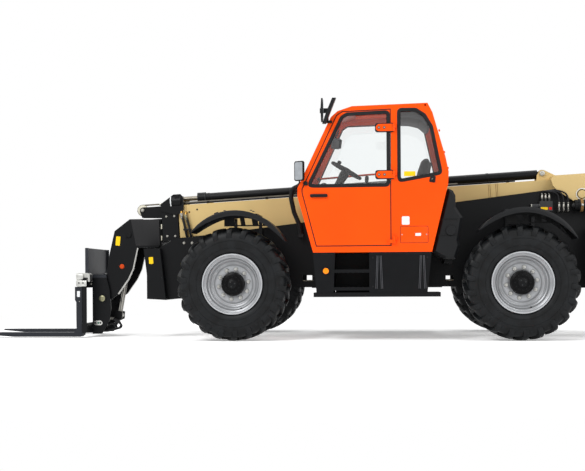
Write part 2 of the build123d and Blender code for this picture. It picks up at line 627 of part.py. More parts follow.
# ---------------------------------------------------------------- cylinders
lift_run = hypot(LIFT_EYE[0] - LIFT_BASE[0], LIFT_EYE[1] - LIFT_BASE[1])
LIFT_BORE = LIFT_ROD_R + FIT
barrel = rod_toward(LIFT_BASE, LIFT_EYE, LIFT_R, 118, LIFT_BARREL_L)
barrel += rod_toward(LIFT_BASE, LIFT_EYE, 60, 0, 118)
barrel += rod_y(*LIFT_BASE, 90, -LIFT_BASE_HALF, LIFT_BASE_HALF)
barrel -= rod_toward(LIFT_BASE, LIFT_EYE, LIFT_BORE, 130, LIFT_BARREL_L + 1)
barrel -= rod_y(*LIFT_BASE, LIFT_PIN_R + FIT, -200, 200)
save("lift_barrel", barrel)
lift_rod = rod_toward(LIFT_BASE, LIFT_EYE, LIFT_ROD_R, 150, lift_run - 40)
lift_rod += rod_y(*LIFT_EYE, 72, -LUG_IN + RUN, LUG_IN - RUN)
save("lift_rod", lift_rod)

tilt_run = hypot(TILT_EYE[0] - TILT_TOP[0], TILT_EYE[1] - TILT_TOP[1])
TILT_EYE_HALF = 40.0
barrel = rod_toward(TILT_TOP, TILT_EYE, TILT_R, 30, TILT_BARREL_L) + rod_y(*TILT_TOP, 50, -56, 56)
barrel -= rod_toward(TILT_TOP, TILT_EYE, TILT_ROD_R + FIT, 35, TILT_BARREL_L + 1)
barrel -= rod_y(*TILT_TOP, 25 + FIT, -100, 100)
save("tilt_barrel", barrel)
tilt_rod = rod_toward(TILT_TOP, TILT_EYE, TILT_ROD_R, tilt_run - 550, tilt_run - 20)
tilt_rod += rod_y(*TILT_EYE, 42, -TILT_EYE_HALF, TILT_EYE_HALF)
save("tilt_rod", tilt_rod)


# ---------------------------------------------------------------- fork carriage
FORK_SHANK_T = 70.0
BAR_FRONT = FORK_HEEL_X + FORK_SHANK_T
BAR_REAR = BAR_FRONT + 60
CARRIAGE_HALF = 520.0
CARRIAGE_TOP = 738.0
BACK_PLATE_TOP = 1048.0
SIDE_IN = HEAD_HALF_W + 15
SIDE_T = 35.0
# Columns: bottom, top of each fork bar
FORK_BARS = ((60.0, 170.0), (585.0, 700.0))
bar_low, bar_top = FORK_BARS[1]
side_outline = [
    (BAR_REAR, 40), (CARRIAGE_PIN[0] - 10, 40), (-1600, 190), (-1580, 340), (-1596, 560),
    (-1640, CARRIAGE_TOP),
    (BAR_REAR, CARRIAGE_TOP),
]
carriage = both_sides(plate(side_outline, SIDE_IN, SIDE_IN + SIDE_T))
for z0, z1 in FORK_BARS:
    carriage += box(BAR_FRONT, BAR_REAR, -CARRIAGE_HALF, CARRIAGE_HALF, z0, z1)
end_post = box(BAR_FRONT + 10, BAR_REAR - 10, CARRIAGE_HALF - 40, CARRIAGE_HALF, FORK_BARS[0][1], bar_low)
carriage += both_sides(end_post)
# Folded back plate above the upper bar, with a rib down each edge
carriage += box(BAR_FRONT + 30, BAR_REAR - 20, -470, 470, bar_top, BACK_PLATE_TOP)
carriage += both_sides(box(BAR_FRONT + 30, BAR_REAR + 6, 455, 470, CARRIAGE_TOP - 20, BACK_PLATE_TOP))
# Notches in the back plate that let the fork hooks over the bar
HOOK_HALF = FORK_W / 2 - 10
HOOK_T = 54.0
NOTCH_HALF = HOOK_HALF + 4
notch = box(BAR_FRONT, BAR_REAR + 30, FORK_Y - NOTCH_HALF, FORK_Y + NOTCH_HALF, bar_top, bar_top + HOOK_T + 2)
carriage -= both_sides(notch)
lever = plate([
    (BAR_REAR, 70), (TILT_EYE[0] + 40, TILT_EYE[1] - 45), (TILT_EYE[0] + 45, TILT_EYE[1] + 40),
    (TILT_EYE[0] - 30, TILT_EYE[1] + 60), (BAR_REAR, 165),
], TILT_EYE_HALF + RUN, TILT_EYE_HALF + RUN + 25)
carriage += both_sides(lever)
carriage += both_sides(rod_y(*CARRIAGE_PIN, 52, SIDE_IN + SIDE_T, SIDE_IN + SIDE_T + 8))
carriage += rod_y(*CARRIAGE_PIN, CARRIAGE_PIN_R, -SIDE_IN - SIDE_T - 16, SIDE_IN + SIDE_T + 16)
save("fork_carriage", carriage)

# Forks: blade, heel and shank with the thicker block that takes the hook
fork_tip_x = FORK_HEEL_X - FORK_LENGTH
SHANK_TOP = bar_low + 10
shank_rear = BAR_FRONT - FIT
fork_outline = [
    (shank_rear, FORK_CLEAR + 20), (shank_rear, SHANK_TOP), (FORK_HEEL_X - 15, SHANK_TOP),
    (FORK_HEEL_X - 15, 445),
    (FORK_HEEL_X, 415), (FORK_HEEL_X, FORK_CLEAR + FORK_T + 30), (FORK_HEEL_X - 30, FORK_CLEAR + FORK_T),
    (fork_tip_x, FORK_CLEAR + FORK_T), (fork_tip_x, FORK_CLEAR + FORK_T - 15), (fork_tip_x + 450, FORK_CLEAR),
    (shank_rear - 25, FORK_CLEAR),
]
forks = []
for y in (-FORK_Y, FORK_Y):
    blade = plate(fork_outline, y - FORK_W / 2, y + FORK_W / 2)
    for side in (-1, 1):
        edge_y = y + side * (FORK_W / 2 + 1)
        corner = Face(Wire.make_polygon([
            Vector(fork_tip_x - 1, edge_y, 0), Vector(fork_tip_x + 220, edge_y, 0),
            Vector(fork_tip_x - 1, edge_y - side * 46, 0),
        ], close=True))
        blade -= extrude(corner, amount=200, dir=(0, 0, 1))
    forks.append(blade)
save("forks", *forks)

# Bright hooks that hang the forks on the upper bar, each with its latch block
hook_outline = [
    (FORK_HEEL_X, SHANK_TOP + FIT), (shank_rear, SHANK_TOP + FIT), (shank_rear, bar_top + FIT),
    (BAR_REAR + FIT, bar_top + FIT), (BAR_REAR + FIT, bar_top - 45), (BAR_REAR + 28, bar_top - 45),
    (BAR_REAR + 28, bar_top + HOOK_T - 14), (BAR_REAR + 8, bar_top + HOOK_T),
    (FORK_HEEL_X, bar_top + HOOK_T),
]
hooks = [plate(hook_outline, y - HOOK_HALF, y + HOOK_HALF) for y in (-FORK_Y, FORK_Y)]
hooks = [chamfer(h.edges().filter_by(Axis.Y).sort_by(Axis.X)[:2], 10) for h in hooks]
save("fork_hooks", *hooks)

# Hydraulic hoses looped behind the carriage, from a bulkhead block on its left side plate
LOOP_R = 9.0
loops = [box(-1690, -1640, SIDE_IN - 60, SIDE_IN - FIT, 130, 175)]
for k, y in enumerate((SIDE_IN - 20, SIDE_IN - 44)):
    start = (-1640, y, 150 + 6 * k)
    loops.append(hose([
        start, (-1560 + 14 * k, y, 150 + 6 * k), (-1532 + 14 * k, y, 90), (-1640, y, 60 - 8 * k + 12),
        (BAR_REAR + FIT, y, 60 - 8 * k + 12),
    ], LOOP_R, 24))
save("carriage_hoses", *[mirror(part, about=Plane.XZ) for part in loops])


# ---------------------------------------------------------------- cab
CAB_NOSE_X = 712.0
CAB_NOSE_Z = 1650.0
SCREEN_LEAN = 366 / 762
cab_outline = [
    (878, CAB_FLOOR_Z), (CAB_NOSE_X, 1560), (CAB_NOSE_X, CAB_NOSE_Z),
    (CAB_NOSE_X + 762 * SCREEN_LEAN, 2412), (1150, 2475), (1305, 2525), (CAB_REAR - 221, 2545),
    (CAB_REAR - 168, 2440), (CAB_REAR - 33, 1963), (CAB_REAR, 1805), (CAB_REAR - 8, 1677),
    (CAB_REAR - 182, CAB_FLOOR_Z),
]


def cab_layer(inset, y0, y1):
    """The cab's outline drawn in by an inset and made solid between two planes."""
    outline = offset(face_xz(cab_outline), -inset, kind=Kind.INTERSECTION) if inset else face_xz(cab_outline)
    return Pos(0, y0, 0) * extrude(outline.face(), amount=y1 - y0, dir=(0, 1, 0))


def window_cuts(grow):
    """Blocks that pass through the cab's walls where its windows are."""
    g = grow
    windscreen = box(600, 1150, CAB_OUT + 60 - g, CAB_IN - 60 + g, 1700 - g, 2360 + g)
    rear = box(CAB_REAR - 212, CAB_REAR + 168, CAB_OUT + 60 - g, CAB_IN - 60 + g, 1700 - g, 2360 + g)
    roof = box(1330 - g, CAB_REAR - 342 + g, CAB_OUT + 90 - g, CAB_IN - 90 + g, 2450, 2600)
    quarter_points = [
        (1812 - g, 1724 - g), (1812 - g, 2470 + g), (CAB_REAR - 350, 2467 + g), (CAB_REAR - 262 + g, 2410),
        (CAB_REAR - 190 + g, 2288), (CAB_REAR - 92 + g, 1800), (CAB_REAR - 204, 1780 - g),
    ]
    quarter = plate(quarter_points, CAB_OUT - 20, CAB_OUT + CAB_T + 20)
    right_points = [
        (860 - g, 1700 - g), (1170 - g, 2380), (1230, 2420 + g), (CAB_REAR - 272 + g, 2440 + g),
        (CAB_REAR - 232 + g, 2380), (CAB_REAR - 102 + g, 1800), (CAB_REAR - 132 + g, 1700 - g),
    ]
    right = plate(right_points, CAB_IN - CAB_T - 20, CAB_IN + 20)
    return [windscreen, rear, roof, quarter, right]


door_outline = [(915, 1027), (765, 1600), (765, 1640), (1140, 2425), (1200, 2465), (1712, 2482), (1712, 1027)]
door_glass_outline = [(842, 1680), (1200, 2400), (1252, 2432), (1684, 2448), (1684, 1680)]
door_face = face_xz(door_outline)
doorway = Pos(0, CAB_OUT - 20, 0) * extrude(
    offset(door_face, 5, kind=Kind.INTERSECTION).face(), amount=CAB_T + 40, dir=(0, 1, 0))
cab = cab_layer(0, CAB_OUT, CAB_IN) - cab_layer(CAB_T, CAB_OUT + CAB_T, CAB_IN - CAB_T)
cab -= doorway
for cut in window_cuts(0):
    cab -= cut
hinge_x, hinge_y = DOOR_HINGE
HINGE_HEIGHTS = (1087.0, 1783.0, 2286.0)
HINGE_PIN_R = 14.0
KNUCKLE_L = 38.0
for z in HINGE_HEIGHTS:
    cab += rod_z(hinge_x, hinge_y, HINGE_PIN_R, z, z + KNUCKLE_L)
    cab += box(hinge_x, hinge_x + 30, hinge_y, CAB_OUT, z, z + KNUCKLE_L)
# Lifting eye at the roof's rear corner and the latch recess below the quarter window
cab -= rod_y(CAB_REAR - 245, 2521, 12, CAB_OUT - 1, CAB_OUT + CAB_T + 1)
save("cab_shell", cab)

inset = (CAB_T - GLASS_T) / 2
pane_layer = cab_layer(inset, CAB_OUT + inset, CAB_IN - inset)
pane_layer -= cab_layer(inset + GLASS_T, CAB_OUT + inset + GLASS_T, CAB_IN - inset - GLASS_T)
panes = [(pane_layer & cut) for cut in window_cuts(-FIT)]
save("cab_glass", *panes)

door = plate(door_outline, CAB_OUT, CAB_OUT + CAB_T)
door -= plate(door_glass_outline, CAB_OUT - 1, CAB_OUT + CAB_T + 1)
STRAP_L = 190.0
STRAP_HALF = 38.0
for z in HINGE_HEIGHTS:
    door += rod_z(hinge_x, hinge_y, HINGE_PIN_R, z - KNUCKLE_L, z - FIT)
    door += box(hinge_x - 60, hinge_x, hinge_y - 4, hinge_y + 5, z - KNUCKLE_L, z - FIT)
    door += box(hinge_x - 60, hinge_x - 42, hinge_y, CAB_OUT + 1, z - KNUCKLE_L, z - FIT)
# Round-ended straps of the two upper hinges, standing off the glass on a spacer
for z in HINGE_HEIGHTS[1:]:
    strap_end = hinge_x - STRAP_L + STRAP_HALF
    strap = box(strap_end, hinge_x - 18, hinge_y - 4, hinge_y + 5, z - STRAP_HALF, z + STRAP_HALF)
    strap += rod_y(strap_end, z, STRAP_HALF, hinge_y - 4, hinge_y + 5)
    door += strap
save("cab_door", door)
handle = box(849, 1038, CAB_OUT - 26, CAB_OUT - 12, 1550, 1584)
handle = chamfer(handle.edges().filter_by(Axis.Y), 8)
for x0, x1 in ((856, 884), (1003, 1031)):
    handle += box(x0, x1, CAB_OUT - 13, CAB_OUT - FIT, 1555, 1579)
save("door_handle", handle)
glass_face = offset(face_xz(door_glass_outline), -FIT, kind=Kind.INTERSECTION).face()
door_pane = Pos(0, CAB_OUT + inset, 0) * extrude(glass_face, amount=GLASS_T, dir=(0, 1, 0))
save("door_glass", door_pane)

cab_floor_top = CAB_FLOOR_Z + CAB_T
SEAT_X = CAB_REAR - 832
seat = box(SEAT_X, SEAT_X + 460, -990, -530, 1330, 1450)
seat += plate([
    (SEAT_X + 400, 1450), (SEAT_X + 460, 1360), (SEAT_X + 560, 1440), (SEAT_X + 640, 1940),
    (SEAT_X + 612, 1984),
    (SEAT_X + 580, 1984), (SEAT_X + 490, 1700),
], -980, -540)
seat = fillet(seat.edges().filter_by(Axis.Y), 18)
seat_base = box(SEAT_X + 60, SEAT_X + 400, -920, -600, cab_floor_top + FIT, 1330)
save("operator_seat", seat)
save("seat_base", seat_base)
console = plate([
    (960, cab_floor_top + FIT), (850, 1500), (930, 1560), (1010, 1520), (1100, cab_floor_top + FIT),
], -960, -560)
column = rod_toward((1000, 1480), (1210, 1840), 32, 0, 448, y=-760)
wheel_tilt = degrees(atan2(210, 360))
WHEEL_R = 175.0
steering_ring = faceted([(-12, WHEEL_R + 4), (-5, WHEEL_R + 12), (5, WHEEL_R + 12), (12, WHEEL_R + 4)], 20)
steering_ring -= faceted([(-13, WHEEL_R - 6), (0, WHEEL_R - 14), (13, WHEEL_R - 6)], 20)
steering_wheel = Rot(90, 0, 0) * (steering_ring + faceted([(-15, 38), (15, 38)], 12))
for angle in (90, 210, 330):
    steering_wheel += Rot(0, 0, angle) * box(20, WHEEL_R - 4, -14, 14, -6, 6)
wheel_place = Pos(1228, -760, 1872) * Rot(0, wheel_tilt, 0)
save("steering_console", console + column + wheel_place * steering_wheel)

# ---------------------------------------------------------------- left side below the cab
SKIRT_IN = -700.0
SKIRT_TOP = CAB_FLOOR_Z - FIT
SILL_Z = (475.0, 522.0)
LOCKER_Z = SILL_Z[1] + FIT
front_locker = plate([
    (874, SKIRT_TOP), (912, LOCKER_Z), (1095, LOCKER_Z), (1114, SKIRT_TOP),
], CAB_OUT, SKIRT_IN)
STEP_REAR = 1480.0
LOCKER_REAR = CAB_REAR - 186
rear_locker = plate([
    (STEP_REAR, SKIRT_TOP), (STEP_REAR, LOCKER_Z), (LOCKER_REAR - 46, LOCKER_Z), (LOCKER_REAR, SKIRT_TOP),
], CAB_OUT, SKIRT_IN)
back_wall = box(1100, 1490, SKIRT_IN - 30, SKIRT_IN, LOCKER_Z, SKIRT_TOP)
# Pressed ribs in pairs that lean together upwards
for x, lean in ((1548, 14), (1608, -14), (LOCKER_REAR - 138, 14), (LOCKER_REAR - 78, -14)):
    rib = [(x, 560), (x + 16, 560), (x + 14 + lean, 920), (x + 2 + lean, 920)]
    rear_locker += plate(rib, CAB_OUT - 7, CAB_OUT)
lockers = front_locker + rear_locker + back_wall
for z in (545, 735):
    step = box(1090, 1490, CAB_OUT, SKIRT_IN - 160, z, z + 35)
    for x in range(1150, 1450, 55):
        step -= box(x, x + 30, CAB_OUT + 30, SKIRT_IN - 190, z - 1, z + 36)
    lockers += step
save("side_lockers", lockers)
sill = box(880, CAB_REAR - 92, CAB_OUT + 10, SKIRT_IN + 20, *SILL_Z)
for x in (960, CAB_REAR - 332):
    sill += box(x, x + 90, SKIRT_IN + 20, -PLATE_OUT - FIT, *SILL_Z)
    sill += box(x, x + 90, -PLATE_OUT - 40, -PLATE_OUT - FIT, SILL_Z[0], CHASSIS_Z + 120)
    sill += box(x, x + 90, -PLATE_OUT - 40, -PLATE_OUT - FIT, CHASSIS_Z, CAB_FLOOR_Z - FIT)
    sill += box(x, x + 90, SKIRT_IN + 10, -PLATE_OUT - FIT, CAB_FLOOR_Z - 90, CAB_FLOOR_Z - FIT)
TANK_Z = 877.0
sill += box(CAB_REAR - 37, CAB_REAR + 48, -900, -PLATE_OUT - FIT, TANK_Z - 40, TANK_Z - FIT)
save("left_sill", sill)
tank_outline = [
    (CAB_REAR - 172, 950), (CAB_REAR - 37, TANK_Z), (CAB_REAR + 70, TANK_Z), (CAB_REAR + 118, 1019),
    (CAB_REAR + 104, 1075), (CAB_REAR + 148, 1320), (CAB_REAR + 76, 1433), (CAB_REAR + 72, 1555),
    (CAB_REAR + 46, 1608), (CAB_REAR - 6, 1634),
]
TANK_OUT = CAB_OUT + 40
tank = plate(tank_outline, TANK_OUT, -420)
tank = chamfer(tank.faces().sort_by(Axis.Y)[0].edges(), 26)
# Moulded grooves across the tank's outer face, and the filler neck
for z in (1120, 1290):
    tank -= box(CAB_REAR - 140, CAB_REAR + 90, TANK_OUT - 1, TANK_OUT + 9, z, z + 16)
tank += Pos(CAB_REAR + 20, 0, 1180) * faceted([(TANK_OUT - 24, 52), (TANK_OUT + 10, 56)], 16)
save("fuel_tank", tank)


# ---------------------------------------------------------------- right side: hood, engine, grille
hood_low = TRAY_Z[1] + FIT
hood = box(HOOD_FRONT, HOOD_REAR, HOOD_IN, HOOD_OUT, hood_low, HOOD_TOP)
hood = chamfer(hood.edges().filter_by(Axis.X).group_by(Axis.Z)[-1].sort_by(Axis.Y)[-1:], 140)
hood -= box(
    HOOD_FRONT + HOOD_T, HOOD_REAR - HOOD_T, HOOD_IN - 1, HOOD_OUT - HOOD_T, hood_low - 1, HOOD_TOP - 160)
GRILLE = (HOOD_REAR - 635, HOOD_REAR - 135, 900.0, 1400.0)
gx0, gx1, gz0, gz1 = GRILLE
hood -= box(gx0, gx1, HOOD_OUT - 60, HOOD_OUT + 20, gz0, gz1)
# Louvres in the hood's side ahead of the grille, and two latches below them
for k in range(6):
    hood -= box(900 + 100 * k, 960 + 100 * k, HOOD_OUT - 9, HOOD_OUT + 1, 1180, 1420)
for x in (900, HOOD_REAR - 120):
    hood += box(x, x + 60, HOOD_OUT, HOOD_OUT + 12, 640, 700)
# Columns: front station of each hinge
HOOD_HINGES = (950.0, HOOD_REAR - 285)
HINGE_L = 60.0
HINGE_R = 12.0
hinge_hy, hinge_hz = HOOD_HINGE
uprights = box(HOOD_FRONT, HOOD_REAR, PLATE_OUT + FIT, HOOD_OUT, *TRAY_Z)
for x in HOOD_HINGES:
    hood += rod_x(hinge_hy, hinge_hz, HINGE_R, x, x + HINGE_L)
    hood += box(x, x + HINGE_L, hinge_hy, HOOD_IN, hinge_hz - 8, hinge_hz + 8)
    for x0 in (x - 40 - FIT, x + HINGE_L + FIT):
        uprights += rod_x(hinge_hy, hinge_hz, HINGE_R, x0, x0 + 40)
        uprights += box(x0, x0 + 40, PLATE_OUT + FIT, hinge_hy, hinge_hz - 8, hinge_hz + 8)
        uprights += box(x0, x0 + 40, PLATE_OUT + FIT, PLATE_OUT + 12, 1200, hinge_hz + 8)
        uprights += box(x0, x0 + 40, PLATE_OUT + FIT, PLATE_OUT + 12, TRAY_Z[1], 1200)
save("engine_hood", hood)
grille = box(gx0 + FIT, gx1 - FIT, HOOD_OUT - 16, HOOD_OUT - 4, gz0 + FIT, gz1 - FIT)
for k in range(9):
    slot_z = gz0 + 30 + 50 * k
    grille -= box(gx0 + 20, gx1 - 20, HOOD_OUT - 40, HOOD_OUT + 10, slot_z, slot_z + 28)
save("hood_grille", grille)
save("engine_frame", uprights)
block_low = TRAY_Z[1] + FIT
engine = box(1000, 1900, 560, 900, block_low, 1180) + box(1040, 1860, 600, 860, 1180, 1290)
for x in range(1080, 1860, 190):
    engine += box(x, x + 120, 640, 820, 1290, 1340)
engine += box(1060, 1840, 480, 560, 960, 1080)
save("engine_block", engine)

# ---------------------------------------------------------------- fenders, lamps and mirrors
STAY_Z = 1366.0
STAY_T = 36.0
# Columns: front edge, rear edge of each slanted slot in a fender's bracket
BRACKET_SLOTS = ((-10, 55), (105, 185), (250, 300))


def fender(x, side, start_deg, end_deg):
    """A curved sheet over one wheel, hung from a slotted bracket on two stays from the chassis."""
    cx = x + FENDER_CENTRE[0]
    cz = FENDER_CENTRE[1]
    y0, y1 = sorted((side * FENDER_OUT, side * FENDER_IN))
    ring = rod_y(cx, cz, FENDER_R + FENDER_T, y0, y1) - rod_y(cx, cz, FENDER_R, y0 - 1, y1 + 1)
    reach = 2 * FENDER_R
    corners = [(cx, cz)]
    for k in range(5):
        a = radians(start_deg + (end_deg - start_deg) * k / 4)
        corners.append((cx + reach * cos(a), cz + reach * sin(a)))
    guard = ring & plate(corners, y0 - 1, y1 + 1)
    # The joint band over the sheet ahead of its top
    band = rod_y(cx, cz, FENDER_R + FENDER_T + 12, y0, y1) - rod_y(cx, cz, FENDER_R, y0 - 1, y1 + 1)
    band_corners = [(cx, cz)]
    for a in (radians(107), radians(111)):
        band_corners.append((cx + reach * cos(a), cz + reach * sin(a)))
    guard += band & plate(band_corners, y0 - 1, y1 + 1)
    disc = rod_y(cx, cz, FENDER_R + 2, *sorted((side * FENDER_IN, side * (FENDER_IN + 12))))
    bracket = disc & box(x - 134, x + 381, y0, y1, 1262, 1500)
    for x0, x1 in BRACKET_SLOTS:
        slot = [(x + x0, 1276), (x + x1, 1276), (x + x1 - 14, 1352), (x + x0 - 14, 1352)]
        bracket -= plate(slot, y0 - 1, y1 + 1)
    guard += bracket
    post_y = sorted((side * (PLATE_OUT + FIT), side * (PLATE_OUT + 40)))
    stay_y = sorted((side * (PLATE_OUT + FIT), side * (FENDER_IN + 2)))
    for x0 in (x - 90, x + 200):
        guard += box(x0, x0 + STAY_T, *stay_y, STAY_Z, STAY_Z + STAY_T)
        guard += box(x0, x0 + STAY_T, *post_y, 1100, STAY_Z + 1)
    return guard


for name, x in (("front_fenders", 0.0), ("rear_fenders", WHEELBASE)):
    save(name, fender(x, -1, *FENDER_SWEEP), fender(x, 1, *FENDER_SWEEP))

lamps = []
for side in (-1, 1):
    lamps.append(rod_x(side * LAMP_Y, LAMP_Z, 45, cw_rear, cw_rear + 25))
    lamps.append(rod_x(side * (LAMP_Y - 110), LAMP_Z, 45, cw_rear, cw_rear + 25))
lamps.append(rod_y(1015, 756, 34, CAB_OUT - 14, CAB_OUT))
save("lamps", *lamps)

# Two mirrors on one clamp at the top of the front pillar, and one low down ahead of the windscreen
MIRROR_Y = CAB_OUT - 50
upright_head = [(978, 2350), (996, 2350), (1002, 2480), (996, 2600), (980, 2600), (972, 2480)]
slanted_head = [(992, 2330), (1030, 2330), (1086, 2470), (1138, 2600), (1098, 2600), (1030, 2440)]
mirrors = plate(upright_head, MIRROR_Y - 60, MIRROR_Y) + plate(slanted_head, MIRROR_Y - 70, MIRROR_Y)
mirrors += box(962, 1046, MIRROR_Y, MIRROR_Y + 24, 2450, 2500)
mirrors += box(1034, 1056, MIRROR_Y, MIRROR_Y + 24, 2345, 2460)
mirrors += box(1034, 1092, MIRROR_Y, CAB_OUT - FIT, 2345, 2367)
low_mirror = box(-12, 12, -60, 60, -106, 106)
low_mirror = chamfer(low_mirror.edges().filter_by(Axis.X), 14)
mirrors_low = Pos(738, MIRROR_Y + 4, 1832) * Rot(0, 0, 58) * low_mirror
mirrors_low += hose([
    (738, MIRROR_Y + 4, 1740), (738, MIRROR_Y + 4, 1700), (684, MIRROR_Y + 4, 1660), (684, -1100, 1600),
    (CAB_NOSE_X - FIT, -1100, 1600),
], 9, 8)
save("mirrors", mirrors, mirrors_low)

# Corrugated conduit that rises from the chassis in front of the cab
CONDUIT_Y = -401.0
conduit = hose([
    (688, CONDUIT_Y, 1180), (668, CONDUIT_Y, 1300), (610, CONDUIT_Y, 1440), (576, CONDUIT_Y, 1600),
    (590, CONDUIT_Y, 1710), (668, CONDUIT_Y, 1742), (738, CONDUIT_Y, 1742),
], 26, 60)
# Flange on the cab's sloping front, and the bracket that carries the conduit's foot on the chassis
flange = [(CAB_NOSE_X + (z - CAB_NOSE_Z) * SCREEN_LEAN - FIT, z) for z in (1704, 1780)]
flange += [(flange[1][0] - 14, 1780), (flange[0][0] - 14, 1704)]
conduit += plate(flange, CONDUIT_Y - 29, CONDUIT_Y + 28)
conduit += box(660, 716, CONDUIT_Y - 20, -PLATE_OUT - FIT, 1150, 1190)
save("front_conduit", conduit)

# Valve block with its ports on the outside of the left chassis plate, above the rear wheel
valve = box(WHEELBASE + 290, WHEELBASE + 430, -PLATE_OUT - 96, -PLATE_OUT - FIT, 1420, 1530)
for k in range(3):
    valve += rod_z(WHEELBASE + 320 + 40 * k, -PLATE_OUT - 60, 13, 1500, 1562)
valve += rod_x(-PLATE_OUT - 50, 1475, 26, WHEELBASE + 200, WHEELBASE + 292)
save("valve_block", valve)

CANISTER_Y = -490.0
canister = Pos(PIVOT_X, CANISTER_Y, 1475) * Rot(0, 0, -90) * faceted([
    (-100, 62), (-60, 62), (-60, 70), (-30, 70), (-30, 62), (180, 62), (180, 70), (210, 70), (210, 62), (290, 62),
], 20)
canister += box(PIVOT_X + 120, PIVOT_X + 200, CANISTER_Y - 40, CANISTER_Y + 40, cw_high + FIT, 1420)
save("hydraulic_canister", canister)
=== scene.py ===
"""Dresses the telehandler: finishes, tyres, rims, cab, seat, boom and chassis fittings, lamps and stage."""

from math import atan2, cos, pi, radians, sin, sqrt, tan

import bmesh
import bpy
from bpy.props import FloatProperty, FloatVectorProperty, PointerProperty
from mathutils import Matrix, Vector


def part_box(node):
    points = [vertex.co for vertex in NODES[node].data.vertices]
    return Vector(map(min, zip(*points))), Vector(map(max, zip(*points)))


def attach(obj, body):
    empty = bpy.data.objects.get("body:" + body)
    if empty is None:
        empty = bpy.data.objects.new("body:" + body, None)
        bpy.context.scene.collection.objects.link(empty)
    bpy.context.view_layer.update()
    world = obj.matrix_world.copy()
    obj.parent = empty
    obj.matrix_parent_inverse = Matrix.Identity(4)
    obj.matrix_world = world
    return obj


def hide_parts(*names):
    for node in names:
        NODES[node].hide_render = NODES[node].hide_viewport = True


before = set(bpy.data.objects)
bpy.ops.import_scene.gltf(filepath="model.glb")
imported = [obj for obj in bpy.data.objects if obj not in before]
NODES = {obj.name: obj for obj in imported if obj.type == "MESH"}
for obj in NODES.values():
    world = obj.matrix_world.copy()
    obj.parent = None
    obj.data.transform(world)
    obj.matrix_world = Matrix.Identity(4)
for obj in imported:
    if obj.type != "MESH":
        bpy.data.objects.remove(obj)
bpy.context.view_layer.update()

bl_info = {
    "name": "Telehandler Dresser", "version": (1, 0, 0), "blender": (4, 5, 0),
    "location": "3D View > Sidebar > Telehandler",
    "description": "Builds the looks of a telescopic handler around its fixed frame", "category": "Object"
}

LEFT = (0, -1, 0)
RIGHT = (0, 1, 0)
FRONT = (-1, 0, 0)
REAR = (1, 0, 0)
UP = (0, 0, 1)
SIDES = (-1, 1)  # left and right, as signs of Y

CORNERS = ("front_left", "front_right", "rear_left", "rear_right")


def middle(node):
    """The centre of a node's box, in metres."""
    low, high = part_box(node)
    return (low + high) / 2


AXLE = middle("front_axle")
AXLE_X = AXLE.x


def at(station, y, z):
    """A point from its station behind the front axle, its offset and its height."""
    return Vector((AXLE_X + station, y, z))


def outward(center):
    """The sign of Y that points out of the machine at a wheel."""
    return -1 if center.y < 0 else 1


def spoke_at(turn):
    """The direction of a wheel's spoke, from its share of a full turn."""
    return Vector((cos(2 * pi * turn), 0, sin(2 * pi * turn)))


# ------------------------------------------------------------------ colours and materials
def linear(code):
    """Turns an sRGB hex colour into the linear values that shaders take."""
    channels = [int(code[i:i + 2], 16) / 255 for i in (1, 3, 5)]
    return tuple(c / 12.92 if c <= 0.04045 else ((c + 0.055) / 1.055) ** 2.4 for c in channels)


def add(tree, kind, links=(), **settings):
    """Adds one node: settings go to its own values or inputs, links are (source socket, input name)."""
    node = tree.nodes.new(kind)
    for name, value in settings.items():
        if hasattr(node, name):
            setattr(node, name, value)
        else:
            node.inputs[name.replace("_", " ")].default_value = value
    for source, target in links:
        tree.links.new(source, node.inputs[target])
    return node


def scaled(colour, share):
    """A colour made darker or lighter by a share."""
    return tuple(channel * share for channel in colour)


def blank(name):
    """A new material with its output, and its node tree."""
    material = bpy.data.materials.new(name)
    material.use_nodes = True
    tree = material.node_tree
    tree.nodes.clear()
    return material, tree


def finish_material(tree, shader):
    """Sends a shader to the material's output."""
    add(tree, "ShaderNodeOutputMaterial", [(shader.outputs[0], "Surface")])


# Painted and moulded skins give back less of the white surroundings than bare glass would
SHEEN_LEVEL = 0.14


def shade(tree, color, rough, height=None, bump=0.1, distance=0.001, **settings):
    """A principled surface from a colour, a roughness and an optional height."""
    shader = add(tree, "ShaderNodeBsdfPrincipled")
    shader.inputs["Specular IOR Level"].default_value = SHEEN_LEVEL
    for name, value in settings.items():
        shader.inputs[name.replace("_", " ")].default_value = value
    for source, target in ((color, "Base Color"), (rough, "Roughness")):
        if hasattr(source, "is_output"):
            tree.links.new(source, shader.inputs[target])
        elif target == "Base Color":
            shader.inputs[target].default_value = (*source, 1)
        else:
            shader.inputs[target].default_value = source
    if height is not None:
        bumped = add(tree, "ShaderNodeBump", [(height, "Height")], Strength=bump, Distance=distance)
        tree.links.new(bumped.outputs["Normal"], shader.inputs["Normal"])
    finish_material(tree, shader)
    return shader


def ramp_between(tree, factor, low, high, start=0.35, end=0.65):
    """A smooth change from one colour to another."""
    ramp = add(tree, "ShaderNodeValToRGB", [(factor, "Fac")])
    ramp.color_ramp.elements[0].position = start
    ramp.color_ramp.elements[1].position = end
    ramp.color_ramp.elements[0].color = (*low, 1)
    ramp.color_ramp.elements[1].color = (*high, 1)
    return ramp.outputs["Color"]


def noise_of(tree, grain_mm, detail=3.0):
    """Noise whose cells are about grain_mm across."""
    place = add(tree, "ShaderNodeTexCoord")
    noise = add(
        tree, "ShaderNodeTexNoise", [(place.outputs["Object"], "Vector")], Scale=1000 / grain_mm,
        Detail=detail
    )
    return noise.outputs["Fac"]


